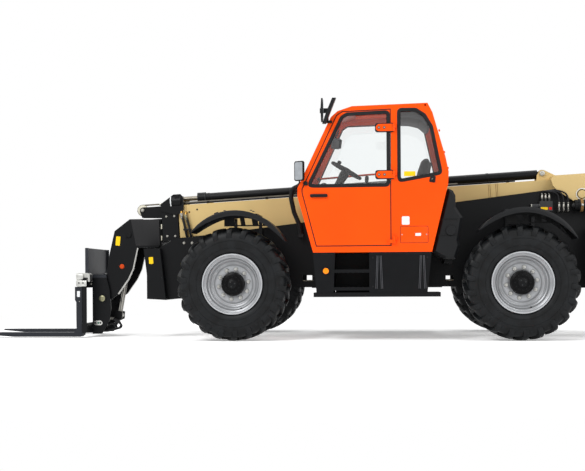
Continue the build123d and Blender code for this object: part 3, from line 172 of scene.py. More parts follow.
def enamel(name, base, rough, orange_peel_mm=6, coat=0.12):
    """Sprayed enamel: an even gloss with a faint orange-peel skin."""
    material, tree = blank(name)
    color = ramp_between(tree, noise_of(tree, 420), scaled(base, 0.93), tuple(base))
    gloss_patches = add(
        tree, "ShaderNodeMapRange", [(noise_of(tree, 160), "Value")], To_Min=rough - 0.04, To_Max=rough + 0.06
    )
    shader = shade(tree, color, gloss_patches.outputs[0], noise_of(tree, orange_peel_mm), 0.05, 0.0006)
    shader.inputs["Coat Weight"].default_value = coat
    shader.inputs["Coat Roughness"].default_value = 0.12
    return material


def moulded(name, code, rough, grain_mm=3.0, gloss=0.2):
    """Moulded plastic: a dull skin with a fine grained texture from the mould."""
    material, tree = blank(name)
    base = linear(code)
    color = ramp_between(tree, noise_of(tree, 180), scaled(base, 0.85), scaled(base, 1.12))
    shade(tree, color, rough, noise_of(tree, grain_mm, 2.0), 0.2, 0.001, Specular_IOR_Level=gloss)
    return material


def metal(name, code, rough, grain_mm=1.5, metallic=1.0):
    """Bare or plated metal with fine machining or rolling marks."""
    material, tree = blank(name)
    base = linear(code)
    color = ramp_between(tree, noise_of(tree, 60), scaled(base, 0.85), base)
    shade(tree, color, rough, noise_of(tree, grain_mm, 2.0), 0.06, 0.0004, Metallic=metallic)
    return material


def tyre_rubber():
    """Natural rubber compound: near black, dull, with a grey bloom in random patches."""
    material, tree = blank("vulcanised tyre rubber")
    base = linear("#08090A")
    bloom = linear("#131517")
    color = ramp_between(tree, noise_of(tree, 90), base, bloom)
    rough = add(tree, "ShaderNodeMapRange", [(noise_of(tree, 45), "Value")], To_Min=0.42, To_Max=0.58)
    shade(tree, color, rough.outputs[0], noise_of(tree, 5, 4.0), 0.3, 0.001, Specular_IOR_Level=0.17)
    return material


def safety_glass():
    """Toughened float glass, 6 mm: nearly clear with a slight grey-green tint."""
    material, tree = blank("toughened float glass")
    clear = add(tree, "ShaderNodeBsdfTransparent", Color=(*linear("#FCFDFD"), 1))
    gloss = add(tree, "ShaderNodeBsdfGlossy", Color=(1, 1, 1, 1), Roughness=0.03)
    fresnel = add(tree, "ShaderNodeFresnel", IOR=1.5)
    mix = add(
        tree, "ShaderNodeMixShader",
        [(fresnel.outputs[0], "Fac"), (clear.outputs[0], 1), (gloss.outputs[0], 2)]
    )
    finish_material(tree, mix)
    return material


# Columns: radius in metres, share of the enamel's colour that painted shade in the rolled steps leaves
WHEEL_STEP_SHADE = (
    (0.124, 0.66), (0.15, 0.92), (0.196, 0.95), (0.206, 0.42), (0.216, 0.5), (0.226, 1.0), (0.236, 0.96),
    (0.243, 0.46), (0.252, 0.58), (0.259, 1.0), (0.266, 0.92), (0.273, 0.44), (0.281, 0.6), (0.288, 0.98),
    (0.3, 0.62), (0.308, 0.95), (0.33, 1.0)
)


def wheel_finish(corner, colour):
    """Silver wheel enamel, darkened in its rolled steps by painted shade, and black enamel on the planetary
    hub.
    """
    center = middle(f"rim_{corner}")
    material, tree = blank(f"wheel enamel {corner}")
    place = add(tree, "ShaderNodeTexCoord")
    offset = add(tree, "ShaderNodeVectorMath", [(place.outputs["Object"], 0)], operation="SUBTRACT")
    offset.inputs[1].default_value = center
    flat = add(tree, "ShaderNodeVectorMath", [(offset.outputs[0], 0)], operation="MULTIPLY")
    flat.inputs[1].default_value = (1, 0, 1)
    radius = add(tree, "ShaderNodeVectorMath", [(flat.outputs[0], 0)], operation="LENGTH")
    low, high = WHEEL_STEP_SHADE[0][0], WHEEL_STEP_SHADE[-1][0]
    share = add(tree, "ShaderNodeMapRange", [(radius.outputs["Value"], "Value")], From_Min=low, From_Max=high)
    # Painted shade: a ramp over the radius darkens the enamel in rings where the steps fall into shade
    rings = add(tree, "ShaderNodeValToRGB", [(share.outputs[0], "Fac")])
    stops = rings.color_ramp.elements
    while len(stops) < len(WHEEL_STEP_SHADE):
        stops.new(0.5)
    for stop, (place_r, light) in zip(stops, WHEEL_STEP_SHADE):
        stop.position = (place_r - low) / (high - low)
        stop.color = (light, light, light, 1)
    silver = ramp_between(tree, noise_of(tree, 130), scaled(colour, 0.88), tuple(colour))
    shaded_silver = add(
        tree, "ShaderNodeMix", [(silver, "A"), (rings.outputs["Color"], "B")], data_type="RGBA",
        blend_type="MULTIPLY"
    )
    shaded_silver.inputs["Factor"].default_value = 1.0
    hub = add(
        tree, "ShaderNodeMapRange", [(radius.outputs["Value"], "Value")], From_Min=0.1245, From_Max=0.1265
    )
    mix = add(
        tree, "ShaderNodeMix", [(hub.outputs[0], "Factor"), (shaded_silver.outputs["Result"], "B")], data_type="RGBA"
    )
    mix.inputs["A"].default_value = (*linear("#070708"), 1)
    shade(tree, mix.outputs["Result"], 0.34, noise_of(tree, 5), 0.05, 0.0006, Metallic=0.35)
    return material


def carriage_finish():
    """Grey enamel on the folded back plate and black enamel on the carriage's welded frame below it."""
    material, tree = blank("grey and black enamel on the carriage")
    place = add(tree, "ShaderNodeTexCoord")
    parts = add(tree, "ShaderNodeSeparateXYZ", [(place.outputs["Object"], "Vector")])
    upper = add(tree, "ShaderNodeMapRange", [(parts.outputs["Z"], "Value")], From_Min=0.7, From_Max=0.702)
    grey = ramp_between(tree, noise_of(tree, 120), linear("#26282C"), linear("#2E3035"))
    mix = add(tree, "ShaderNodeMix", [(upper.outputs[0], "Factor"), (grey, "B")], data_type="RGBA")
    mix.inputs["A"].default_value = (*linear("#0A0B0D"), 1)
    shade(tree, mix.outputs["Result"], 0.42, noise_of(tree, 6), 0.05, 0.0006)
    return material


def lens(name, code):
    """Tinted acrylic lamp lens with moulded prisms."""
    material, tree = blank(name)
    shade(tree, linear(code), 0.16, noise_of(tree, 7, 0.0), 0.3, 0.001)
    return material


def vinyl(name, code):
    """Printed vinyl film, bare of print."""
    material, tree = blank(name)
    base = linear(code)
    color = ramp_between(tree, noise_of(tree, 25), scaled(base, 0.94), base)
    shade(tree, color, 0.42, noise_of(tree, 2), 0.03, 0.0003)
    return material


def woven(name, code, thread_mm=4.0):
    """Woven seat cloth; the thread is drawn coarser than the real 1 mm so that it shows."""
    material, tree = blank(name)
    place = add(tree, "ShaderNodeTexCoord")
    heights = []
    for direction in ("X", "Z"):
        wave = add(
            tree, "ShaderNodeTexWave", [(place.outputs["Object"], "Vector")], bands_direction=direction,
            Scale=1000 / thread_mm / 20, Distortion=0.4
        )
        heights.append(wave.outputs["Fac"])
    both = add(tree, "ShaderNodeMath", operation="MULTIPLY")
    for index, height in enumerate(heights):
        tree.links.new(height, both.inputs[index])
    base = linear(code)
    color = ramp_between(tree, both.outputs[0], scaled(base, 0.7), scaled(base, 1.3), 0.1, 0.9)
    shader = shade(tree, color, 0.85, both.outputs[0], 0.3, 0.001)
    shader.inputs["Sheen Weight"].default_value = 0.25
    return material


MATERIALS = {}  # filled by make_materials, by short name


def make_materials():
    """Every finish on the machine, by its short name."""
    sizes = settings()
    MATERIALS.update({
        # Sprayed over pressed sheet: one even, full colour with broad soft highlights
        "orange": enamel("orange acrylic enamel on pressed steel", sizes.cab_colour, 0.34, coat=0.04),
        # Sprayed over welded plate: a warm, slightly duller coat with faint patches
        "cream": enamel("cream acrylic enamel on welded plate", sizes.boom_colour, 0.4),
        # Sprayed over welded plate: deep black whose dull sheen still shows the edges
        "black": enamel("black acrylic enamel on welded plate", linear("#08090B"), 0.4, coat=0.0),
        # Sprayed over folded covers: a shade greyer, so they part from the black plate
        "charcoal_steel": enamel("charcoal acrylic enamel on folded plate", linear("#252526"), 0.5,
                                 coat=0.0),
        # Two enamels: a grey back plate above the black frame
        "carriage": carriage_finish(),
        # Thin paint over forging scale: grey black and a little rough
        "fork": enamel("grey black enamel on forged steel", linear("#25272C"), 0.45, 4, 0.0),
        # Injection moulded: dark panels without a sharp highlight
        "charcoal": moulded("charcoal moulded ABS", "#0E0F11", 0.42, 3.0, 0.1),
        # Moulded, a lighter grey: thin grey lines on the dark panels, painted highlights on the locker ribs'
        # edges
        "rib_highlight": moulded("moulded ABS lightened as painted highlight", "#4A4B4F", 0.4, 4.0),
        # Blow moulded: satin black with a fine grain
        "plastic": moulded("black moulded polyethylene", "#0F1012", 0.38),
        # Vacuum formed: flat pale grey
        "lining": moulded("grey moulded polypropylene lining", "#5A5B5D", 0.62, 4.0),
        # Extruded: flat black lines that frame the glass
        "seal": moulded("black extruded EPDM rubber", "#111113", 0.55, 2.0),
        # Extruded and wrapped: matt black with a fine ripple
        "hose": moulded("black braid-covered hydraulic hose", "#151517", 0.5, 1.6),
        # Cast: off-white and waxy
        "nylon": moulded("natural cast nylon", "#C9C5B4", 0.45, 2.0),
        # Moulded: a flat orange spot
        "plug": moulded("orange moulded polyethylene plug", "#CC4408", 0.45, 2.0),
        # Woven and dusty: dull tan
        "strap": moulded("tan polyester strap", "#8A6A40", 0.7, 2.0),
        # Vulcanised in a mould: the dullest black, with a grey bloom in random patches
        "tyre": tyre_rubber(),
        # Floated and toughened: almost clear, with reflections at a glance
        "glass": safety_glass(),
        # Ground and plated: sharp light and dark streaks
        "chrome": metal("hard chromed rod", "#D6D8DA", 0.14),
        # Silvered: a clear, slightly grey reflection
        "mirror": metal("silvered mirror glass", "#B4B9BE", 0.04, 8.0),
        # Bright plated: clean light grey
        "silver": metal("bright zinc plated steel", "#C4C4C0", 0.34),
        # Dull plated: soft grey with fine marks
        "zinc": metal("zinc plated steel", "#A3A19A", 0.38),
        # Rolled, its paint rubbed off: a pale line along an edge; on the boom head's rear edge the same pale
        # metal is a painted highlight
        "worn_and_highlight": metal("bare rolled plate and painted highlight", "#B4B3AF", 0.42),
        # Turned: a warm yellow glint
        "brass": metal("machined brass", "#B58E48", 0.3),
        # Plated and passivated: a grey yellow disc
        "brass_grey": metal("yellow passivated zinc", "#8F8D72", 0.4),
        # Rolled and oiled: brown grey with a soft sheen; on the chromed extension rod it is darker than
        # chrome, a painted dark reflection
        "steel": metal("oiled rolled steel and dark painted reflection", "#6F6A60", 0.4),
        # Sand cast and painted: dark and pitted
        "iron": metal("painted cast iron", "#3A3B3C", 0.55, 4.0, 0.2),
        # Moulded lenses: deep, clear colour with a rippled shine
        "amber": lens("amber acrylic lens", "#FF8A14"),
        "red": lens("red acrylic lens", "#C81812"),
        # Printed film: flat, clean blocks of colour, left blank
        "label": vinyl("yellow vinyl film", "#EFC51A"),
        # The white film also paints a highlight: the ring on the front of the collar's rod-eye drum
        "white": vinyl("white vinyl film", "#DADCDD"),
        "green": vinyl("green vinyl film", "#2F6B58"),
        # Woven: black with a fine check and a soft bloom at its edges
        "cloth": woven("black woven polyester", "#232327"),
    })
    for corner in CORNERS:
        MATERIALS[f"wheel_{corner}"] = wheel_finish(corner, sizes.wheel_colour)


# Columns: CAD nodes, finish
NODE_FINISHES = (
    (("cab_shell", "cab_door"), "orange"),
    (("boom_outer",), "cream"),
    (
        (
            "chassis_frame", "counterweight", "front_axle", "rear_axle", "boom_section_2", "boom_section_3",
            "boom_fly", "boom_pipes", "extension_barrel", "lift_barrel", "tilt_barrel", "left_sill",
            "engine_frame", "hydraulic_canister"
        ),
        "black"
    ),
    (("forks",), "fork"),
    (("fork_carriage",), "carriage"),
    (("side_lockers", "engine_hood"), "charcoal"),
    (
        (
            "front_fenders", "rear_fenders", "fuel_tank", "steering_console", "seat_base", "mirrors",
            "hood_grille", "door_handle"
        ),
        "plastic"
    ),
    (("cab_glass", "door_glass"), "glass"),
    (("front_conduit", "carriage_hoses"), "hose"),
    # The extension rod is chromed: its darker steel finish paints the dark reflection it shows
    (("extension_rod",), "steel"),
    (("lift_rod",), "chrome"),
    (("tilt_rod",), "zinc"),
    (("extension_chain", "drive_shafts"), "steel"),
    (("extension_sheave",), "nylon"),
    (("fork_hooks",), "silver"),
    (("transfer_case", "engine_block", "valve_block"), "iron"),
    (("lamps",), "plastic"),
    (("operator_seat",), "cloth"),
)


def dress_nodes():
    """Gives every carried-over node its finish."""
    for names, finish in NODE_FINISHES:
        for name in names:
            set_finish(NODES[name], finish)
    for corner in CORNERS:
        set_finish(NODES[f"rim_{corner}"], f"wheel_{corner}")
        set_finish(NODES[f"knuckle_{corner}"], "black")
        set_finish(NODES[f"tyre_{corner}"], "tyre")


def set_finish(obj, finish):
    """Puts one finish on all of an object's slots."""
    if not obj.material_slots:
        obj.data.materials.append(MATERIALS[finish])
    for slot in obj.material_slots:
        slot.link = "DATA"
        slot.material = MATERIALS[finish]


# ------------------------------------------------------------------ mesh helpers
def mesh_object(name, verts, faces, finish, smooth=True):
    """A new mesh object from points and faces, with its normals made to face out."""
    mesh = bpy.data.meshes.new(name)
    mesh.from_pydata([tuple(v) for v in verts], [], faces)
    obj = bpy.data.objects.new(name, mesh)
    bpy.context.scene.collection.objects.link(obj)
    work = bmesh.new()
    work.from_mesh(mesh)
    bmesh.ops.recalc_face_normals(work, faces=work.faces)
    work.to_mesh(mesh)
    work.free()
    mesh.polygons.foreach_set("use_smooth", [smooth] * len(mesh.polygons))
    mesh.materials.append(MATERIALS[finish])
    return obj


def net(rows, width, loop_rows=False, loop_width=True):
    """Faces over rows of points, each row width points long; either way it may close on itself."""
    faces = []
    for k in range(rows if loop_rows else rows - 1):
        here, there = k * width, (k + 1) % rows * width
        for i in range(width if loop_width else width - 1):
            j = (i + 1) % width
            faces.append((here + i, here + j, there + j, there + i))
    return faces


def ends(rows, width):
    """The two faces that close a net's first and last row."""
    last = (rows - 1) * width
    return [list(range(width))[::-1], list(range(last, last + width))]


def joined(name, parts):
    """Several mesh objects made into one."""
    bpy.ops.object.select_all(action="DESELECT")
    for part in parts:
        part.select_set(True)
    bpy.context.view_layer.objects.active = parts[0]
    if len(parts) > 1:
        bpy.ops.object.join()
    parts[0].name = name
    parts[0].data.name = name
    return parts[0]


def apply_modifiers(obj):
    """Applies all of an object's modifiers to its mesh."""
    bpy.ops.object.select_all(action="DESELECT")
    obj.select_set(True)
    bpy.context.view_layer.objects.active = obj
    bpy.ops.object.convert(target="MESH")
    return obj


def bevelled(obj, width, segments=2, angle=30.0):
    """Rounds an object's sharp edges."""
    mod = obj.modifiers.new("edge", "BEVEL")
    mod.width = width
    mod.segments = segments
    mod.limit_method = "ANGLE"
    mod.angle_limit = radians(angle)
    apply_modifiers(obj)
    smooth_by_angle(obj, 35)
    return obj


def smooth_by_angle(obj, angle):
    """Smooth shading that keeps edges sharper than the angle."""
    mesh = obj.data
    mesh.polygons.foreach_set("use_smooth", [True] * len(mesh.polygons))
    work = bmesh.new()
    work.from_mesh(mesh)
    limit = radians(angle)
    for edge in work.edges:
        sharp = len(edge.link_faces) == 2 and edge.calc_face_angle(0) > limit
        edge.smooth = not sharp
    work.to_mesh(mesh)
    work.free()


def turned(name, profile, center, axis, finish, steps=32, closed=False):
    """A body of revolution: profile is (distance along axis, radius) from end to end."""
    axis = Vector(axis).normalized()
    side = axis.orthogonal().normalized()
    up = axis.cross(side)
    verts = []
    for k in range(steps):
        angle = 2 * pi * k / steps
        out = side * cos(angle) + up * sin(angle)
        verts += [Vector(center) + axis * d + out * r for d, r in profile]
    n = len(profile)
    faces = net(steps, n, True, closed)
    if not closed:
        faces.append([k * n for k in range(steps)][::-1])
        faces.append([k * n + n - 1 for k in range(steps)])
    obj = mesh_object(name, verts, faces, finish)
    smooth_by_angle(obj, 35)
    return obj


def band(half, inner, outer):
    """The section of a flat ring round an axis."""
    return [(-half, inner), (-half, outer), (half, outer), (half, inner)]


def tube(name, points, radius, finish, sides=10, order=3):
    """A round hose or bar along a smooth line through its control points."""
    curve = bpy.data.curves.new(name, "CURVE")
    curve.dimensions = "3D"
    curve.bevel_depth = radius
    curve.bevel_resolution = sides // 4
    curve.resolution_u = 8
    curve.use_fill_caps = True
    spline = curve.splines.new("NURBS" if order > 2 else "POLY")
    spline.points.add(len(points) - 1)
    for point, place in zip(spline.points, points):
        point.co = (*place, 1)
    if order > 2:
        spline.order_u = order
        spline.use_endpoint_u = True
    obj = bpy.data.objects.new(name, curve)
    bpy.context.scene.collection.objects.link(obj)
    curve.materials.append(MATERIALS[finish])
    return apply_modifiers(obj)


def hex_bolt(name, center, axis, across, height, finish="zinc"):
    """A hexagon head with its washer, seated on a face."""
    axis = Vector(axis).normalized()
    washer = turned(
        name + "_washer", [(0, across * 0.68), (height * 0.22, across * 0.68)], center, axis, finish, 16
    )
    r = across / sqrt(3)
    top = turned(
        name + "_head", [(0, r), (height * 0.85, r), (height, r * 0.86)],
        Vector(center) + axis * height * 0.22, axis, finish, 6
    )
    return joined(name, [washer, top])


def bolt_row(name, places, axis, across, height, finish="zinc"):
    """The same bolt at several places: station, offset, height."""
    return [hex_bolt(name, at(*place), axis, across, height, finish) for place in places]


# ------------------------------------------------------------------ camera, light and floor
CAMERA_PLACE = (1.6375, -12.397, 0.683)
CAMERA_YAW = -0.0873
CAMERA_ROLL = -0.0062
CAMERA_LENS = 64.36
CAMERA_SHIFT = 0.0726
FLOOR_HALF = 60.0
FLOOR_GLOW = 0.32
WORLD_LIGHT = 0.37
FLOOR_FADE = (3.5, 7.5)


def make_stage():
    """A white floor and world, three soft lamps and the camera."""
    scene = bpy.context.scene
    world = bpy.data.worlds.new("studio")
    scene.world = world
    world.use_nodes = True
    tree = world.node_tree
    tree.nodes.clear()
    rays = add(tree, "ShaderNodeLightPath")
    seen = add(tree, "ShaderNodeMath", operation="MAXIMUM")
    tree.links.new(rays.outputs["Is Camera Ray"], seen.inputs[0])
    tree.links.new(rays.outputs["Is Transmission Ray"], seen.inputs[1])
    seen_too = add(
        tree, "ShaderNodeMath", [(seen.outputs[0], 0), (rays.outputs["Is Glossy Ray"], 1)],
        operation="MAXIMUM"
    )
    dim = add(tree, "ShaderNodeBackground", Color=(1, 1, 1, 1), Strength=WORLD_LIGHT)
    white = add(tree, "ShaderNodeBackground", Color=(1, 1, 1, 1), Strength=1.0)
    mix = add(
        tree, "ShaderNodeMixShader",
        [(seen_too.outputs[0], "Fac"), (dim.outputs[0], 1), (white.outputs[0], 2)]
    )
    add(tree, "ShaderNodeOutputWorld", [(mix.outputs[0], "Surface")])

    mesh = bpy.data.meshes.new("floor")
    size = FLOOR_HALF
    mesh.from_pydata(
        [(-size, -size, 0), (size, -size, 0), (size, size, 0), (-size, size, 0)], [], [(0, 1, 2, 3)]
    )
    floor = bpy.data.objects.new("floor", mesh)
    scene.collection.objects.link(floor)
    material, tree = blank("white studio floor")
    matte = add(tree, "ShaderNodeBsdfDiffuse", Color=(1, 1, 1, 1))
    glow = add(tree, "ShaderNodeEmission", Color=(1, 1, 1, 1), Strength=FLOOR_GLOW)
    lit = add(tree, "ShaderNodeAddShader", [(matte.outputs[0], 0), (glow.outputs[0], 1)])
    # The lamps reach only the middle of the floor, so it turns to plain white further out
    place = add(tree, "ShaderNodeTexCoord")
    away = add(tree, "ShaderNodeVectorMath", [(place.outputs["Object"], 0)], operation="LENGTH")
    far = add(
        tree, "ShaderNodeMapRange", [(away.outputs["Value"], "Value")], From_Min=FLOOR_FADE[0],
        From_Max=FLOOR_FADE[1]
    )
    white = add(tree, "ShaderNodeEmission", Color=(1, 1, 1, 1), Strength=1.0)
    faded = add(
        tree, "ShaderNodeMixShader", [(far.outputs[0], "Fac"), (lit.outputs[0], 1), (white.outputs[0], 2)]
    )
    finish_material(tree, faded)
    mesh.materials.append(material)

    # Columns: name, place, size, power, aim
    lamps = (
        ("key", (-4.5, -8.0, 8.0), 4.5, 780, (0, 0, 1)),
        ("fill", (7.0, -8.0, 5.0), 7.0, 360, (0, 0, 1)),
        ("top", (0.0, 1.0, 9.0), 8.0, 520, (0, 0, 0)),
    )
    for name, place, width, power, aim in lamps:
        data = bpy.data.lights.new(name, "AREA")
        data.size = width
        data.energy = power
        lamp = bpy.data.objects.new(name, data)
        scene.collection.objects.link(lamp)
        lamp.location = place
        lamp.rotation_euler = (Vector(aim) - Vector(place)).to_track_quat("-Z", "Y").to_euler()

    data = bpy.data.cameras.new("camera")
    data.lens = CAMERA_LENS
    data.sensor_width = 36.0
    data.shift_y = CAMERA_SHIFT
    camera = bpy.data.objects.new("camera", data)
    scene.collection.objects.link(camera)
    camera.location = at(*CAMERA_PLACE)
    look = Matrix.Rotation(-CAMERA_YAW, 4, "Z") @ Matrix.Rotation(pi / 2, 4, "X")
    camera.rotation_euler = (look @ Matrix.Rotation(CAMERA_ROLL, 4, "Z")).to_euler()
    scene.camera = camera
    scene.view_settings.view_transform = "Standard"


# ------------------------------------------------------------------ tyres
TYRE_LOW, TYRE_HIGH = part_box("tyre_front_left")
TYRE_HALF = (TYRE_HIGH.y - TYRE_LOW.y) / 2
TYRE_R = (TYRE_HIGH.z - TYRE_LOW.z) / 2
TYRE_ROOM = 0.0005  # keeps the lugs inside the frame's own box
LUG_COUNT = 22
# Where the first lug starts, in degrees, on the tyre's inboard and outboard halves
LUG_START = {-1: 10.32, 1: 2.14}


def tyre_section():
    """The carcass's section from the inner bead over the tread to the outer bead: (offset, radius)."""
    tread = TYRE_R - 0.036
    side = [
        (0.166, 0.3025), (0.172, 0.33), (0.181, 0.338), (0.19, 0.346), (0.1975, 0.372), (0.201, 0.405),
        (0.202, 0.445), (0.1995, 0.482), (0.1955, 0.512), (0.188, 0.54), (0.174, 0.562),
        (0.15, tread - 0.008), (0.115, tread - 0.003), (0.06, tread)
    ]
    return [(-o, r) for o, r in side] + [(0, tread + 0.001)] + [(o, r) for o, r in reversed(side)]


def lug_path(t):
    """Where a lug's base runs, from the tread's middle over the shoulder: offset, radius, turn in radians."""
    stops = (
        (0.0, -0.012, 0.584, 0.0, 0.036), (0.3, 0.07, 0.583, 0.06, 0.036),
        (0.6, 0.135, 0.578, 0.118, 0.037), (0.78, 0.172, 0.566, 0.15, 0.036),
        (0.9, 0.188, 0.536, 0.162, 0.019), (1.0, 0.196, 0.5, 0.166, 0.004)
    )
    for a, b in zip(stops, stops[1:]):
        if t <= b[0] + 1e-9:
            share = (t - a[0]) / (b[0] - a[0])
            return [a[i] + (b[i] - a[i]) * share for i in range(1, 5)]
    return list(stops[-1][1:])


def tyre_mesh(corner):
    """One tyre: a turned carcass with staggered lugs over both shoulders."""
    center = middle(f"tyre_{corner}")
    outboard = outward(center)
    section = tyre_section()
    carcass = turned(
        "carcass", [(o * outboard, r) for o, r in section], center, (0, 1, 0), "tyre", 132, closed=True
    )
    smooth_by_angle(carcass, 50)
    verts, faces = [], []
    rows = 11
    # Columns: share of the lug's width, share of its height
    section = ((-0.5, -0.12), (-0.42, 0.9), (-0.34, 1.0), (0.34, 1.0), (0.42, 0.9), (0.5, -0.12))
    for side in SIDES:
        for k in range(LUG_COUNT):
            start = 2 * pi * k / LUG_COUNT + radians(LUG_START[side * outboard])
            first = len(verts)
            for row in range(rows):
                o, r, turn, tall = lug_path(row / (rows - 1))
                # The lug stands square to the carcass: up on the tread, outward on the sidewall
                lean = max(0.0, (o - 0.15) / 0.046)
                up_r, up_o = cos(lean * 1.15), sin(lean * 1.15)
                wide = (0.05 + 0.014 * row / (rows - 1)) / r
                for across, lift in section:
                    angle = start + turn + across * wide
                    rr = r + tall * lift * up_r
                    oo = side * (o + tall * lift * up_o)
                    rr = min(rr, TYRE_R - TYRE_ROOM)
                    oo = max(-TYRE_HALF + TYRE_ROOM, min(TYRE_HALF - TYRE_ROOM, oo))
                    verts.append(center + Vector((rr * cos(angle), oo, rr * sin(angle))))
            for row in range(rows - 1):
                a = first + row * 6
                for i in range(5):
                    faces.append((a + i, a + i + 1, a + i + 7, a + i + 6))
            faces.append([first + i for i in range(6)])
            last = first + (rows - 1) * 6
            faces.append([last + i for i in range(5, -1, -1)])
    lugs = mesh_object("lugs", verts, faces, "tyre", smooth=False)
    smooth_by_angle(lugs, 40)
    rings = []
    for o, r in ((0.2012, 0.392), (0.2015, 0.47)):
        ring = turned(
            "ring",
            [
                (outboard * (o - 0.004), r - 0.004), (outboard * (o + 0.0015), r - 0.0015),
                (outboard * (o + 0.0015), r + 0.0015), (outboard * (o - 0.004), r + 0.004)
            ],
            center, (0, 1, 0), "tyre", 132, closed=True
        )
        rings.append(ring)
    tyre = joined(f"tyre_dressed_{corner}", [carcass, lugs] + rings)
    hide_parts(f"tyre_{corner}")
    ride(tyre, f"wheel_{corner}")


def wheel_fittings(corner):
    """Wheel nuts on their studs and the valve."""
    center = middle(f"rim_{corner}")
    outboard = outward(center)
    out = Vector((0, outboard, 0))
    across = settings().wheel_nut_across
    parts = []
    for k in range(10):
        foot = center + out * 0.066 + spoke_at((k + 0.25) / 10) * 0.165
        parts += [
            turned(
                "nut_seat", [(-0.001, across * 0.8), (0.0015, across * 0.78), (0.002, across * 0.5)], foot,
                out, "iron", 28
            ),
            hex_bolt("nut", foot + out * 0.002, out, across, 0.026, "silver"),
            turned("stud", [(0, 0.009), (0.012, 0.009), (0.014, 0.007)], foot + out * 0.03, out, "worn_and_highlight", 12),
        ]
    foot = center + out * 0.1 + Vector((0.09, 0, -0.262))
    parts.append(turned(
        "valve", [(0, 0.008), (0.03, 0.008), (0.034, 0.005), (0.045, 0.005)], foot, out, "seal", 12
    ))
    fit(f"wheel_nuts_{corner}", parts, f"wheel_{corner}")


# ------------------------------------------------------------------ flat pieces and rings on a face
def on_face(center, out, up):
    """A matrix that stands a piece on a face: its X along the face, Y up the face, Z outward."""
    out = Vector(out).normalized()
    up = Vector(up)
    up = (up - out * up.dot(out)).normalized()
    across = up.cross(out)
    return Matrix.Translation(Vector(center)) @ Matrix((across, up, out)).transposed().to_4x4()


def side_face(x, y, z, side):
    """A matrix that stands a piece on one of the machine's sides."""
    return on_face(at(x, side * y, z), (0, side, 0), UP)


def prism(name, outline, low, high, matrix, finish, bevel=0.0, segments=2):
    """A plate with the given outline in a face's own plane, between two heights above it."""
    n = len(outline)
    verts = [matrix @ Vector((x, y, low)) for x, y in outline] + [
        matrix @ Vector((x, y, high)) for x, y in outline
    ]
    faces = [list(range(n))[::-1], list(range(n, 2 * n))]
    faces += [(k, (k + 1) % n, n + (k + 1) % n, n + k) for k in range(n)]
    obj = mesh_object(name, verts, faces, finish, smooth=False)
    return bevelled(obj, bevel, segments) if bevel else obj


def rounded(width, height, corner, steps=4):
    """A rectangle's outline with round corners."""
    points = []
    for k, (sx, sy) in enumerate(((1, 1), (-1, 1), (-1, -1), (1, -1))):
        cx, cy = sx * (width / 2 - corner), sy * (height / 2 - corner)
        for i in range(steps + 1):
            a = pi / 2 * (k + i / steps)
            points.append((cx + corner * cos(a), cy + corner * sin(a)))
    return points


def offset_outline(points, distance):
    """A closed outline moved outward by a distance, its corners kept sharp."""
    n = len(points)
    area = sum(
        points[k][0] * points[(k + 1) % n][1] - points[(k + 1) % n][0] * points[k][1] for k in range(n)
    )
    turn = 1 if area > 0 else -1
    moved = []
    for k in range(n):
        before, here, after = (Vector(points[(k + i) % n]) for i in (-1, 0, 1))
        into = (here - before).normalized()
        onto = (after - here).normalized()
        n1 = Vector((into.y, -into.x)) * turn
        n2 = Vector((onto.y, -onto.x)) * turn
        middle_way = (n1 + n2).normalized()
        moved.append(here + middle_way * (distance / max(0.3, middle_way.dot(n1))))
    return moved


def center_of(outline):
    """The mean of an outline's corners."""
    return [sum(values) / len(outline) for values in zip(*outline)]


def softened(points, radius, steps=5):
    """An outline with each corner rounded by a radius."""
    n = len(points)
    smooth = []
    for k in range(n):
        before, here, after = (Vector(points[(k + i) % n]) for i in (-1, 0, 1))
        a = (before - here).normalized()
        b = (after - here).normalized()
        half = a.angle(b) / 2
        reach = min(
            radius / max(0.05, tan(half)), (before - here).length * 0.45, (after - here).length * 0.45
        )
        start, end = here + a * reach, here + b * reach
        for i in range(steps + 1):
            t = i / steps
            smooth.append(start * (1 - t) ** 2 + here * (2 * t * (1 - t)) + end * t ** 2)
    return smooth


def gasket(name, points, center, out, up, inside, outside, thick, finish="seal", radius=0.03):
    """A rubber glazing strip round an opening: a rounded lip that stands off the face."""
    matrix = on_face(center, out, up)
    inner = softened(offset_outline(points, -inside), max(0.008, radius - inside))
    outer = softened(offset_outline(points, outside), radius + outside)
    # Columns: share of the way from the inner to the outer edge, height in lip thicknesses
    section = (
        (0, -0.6), (0, 0.45), (0.12, 0.85), (0.35, 1.0), (0.45, 0.72), (0.55, 1.0), (0.85, 0.9), (1, 0.5),
        (1, -0.1)
    )
    verts = []
    for a, b in zip(inner, outer):
        for share, lift in section:
            p = a.lerp(b, share)
            verts.append(matrix @ Vector((p.x, p.y, lift * thick)))
    obj = mesh_object(name, verts, net(len(inner), len(section), True), finish)
    smooth_by_angle(obj, 40)
    return obj


def film(name, center, out, up, width, height, finish, lift=0.0006):
    """A blank vinyl label: thin film with round corners."""
    outline = rounded(width, height, min(width, height) * 0.14)
    return prism(name, outline, -0.0002, lift, on_face(center, out, up), finish)


def fit(name, parts, body):
    """Joins parts into one named piece that rides on a body."""
    return ride(joined(name, parts), body)


def ride(obj, body):
    """Says which body a piece rides on."""
    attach(obj, body)
    return obj


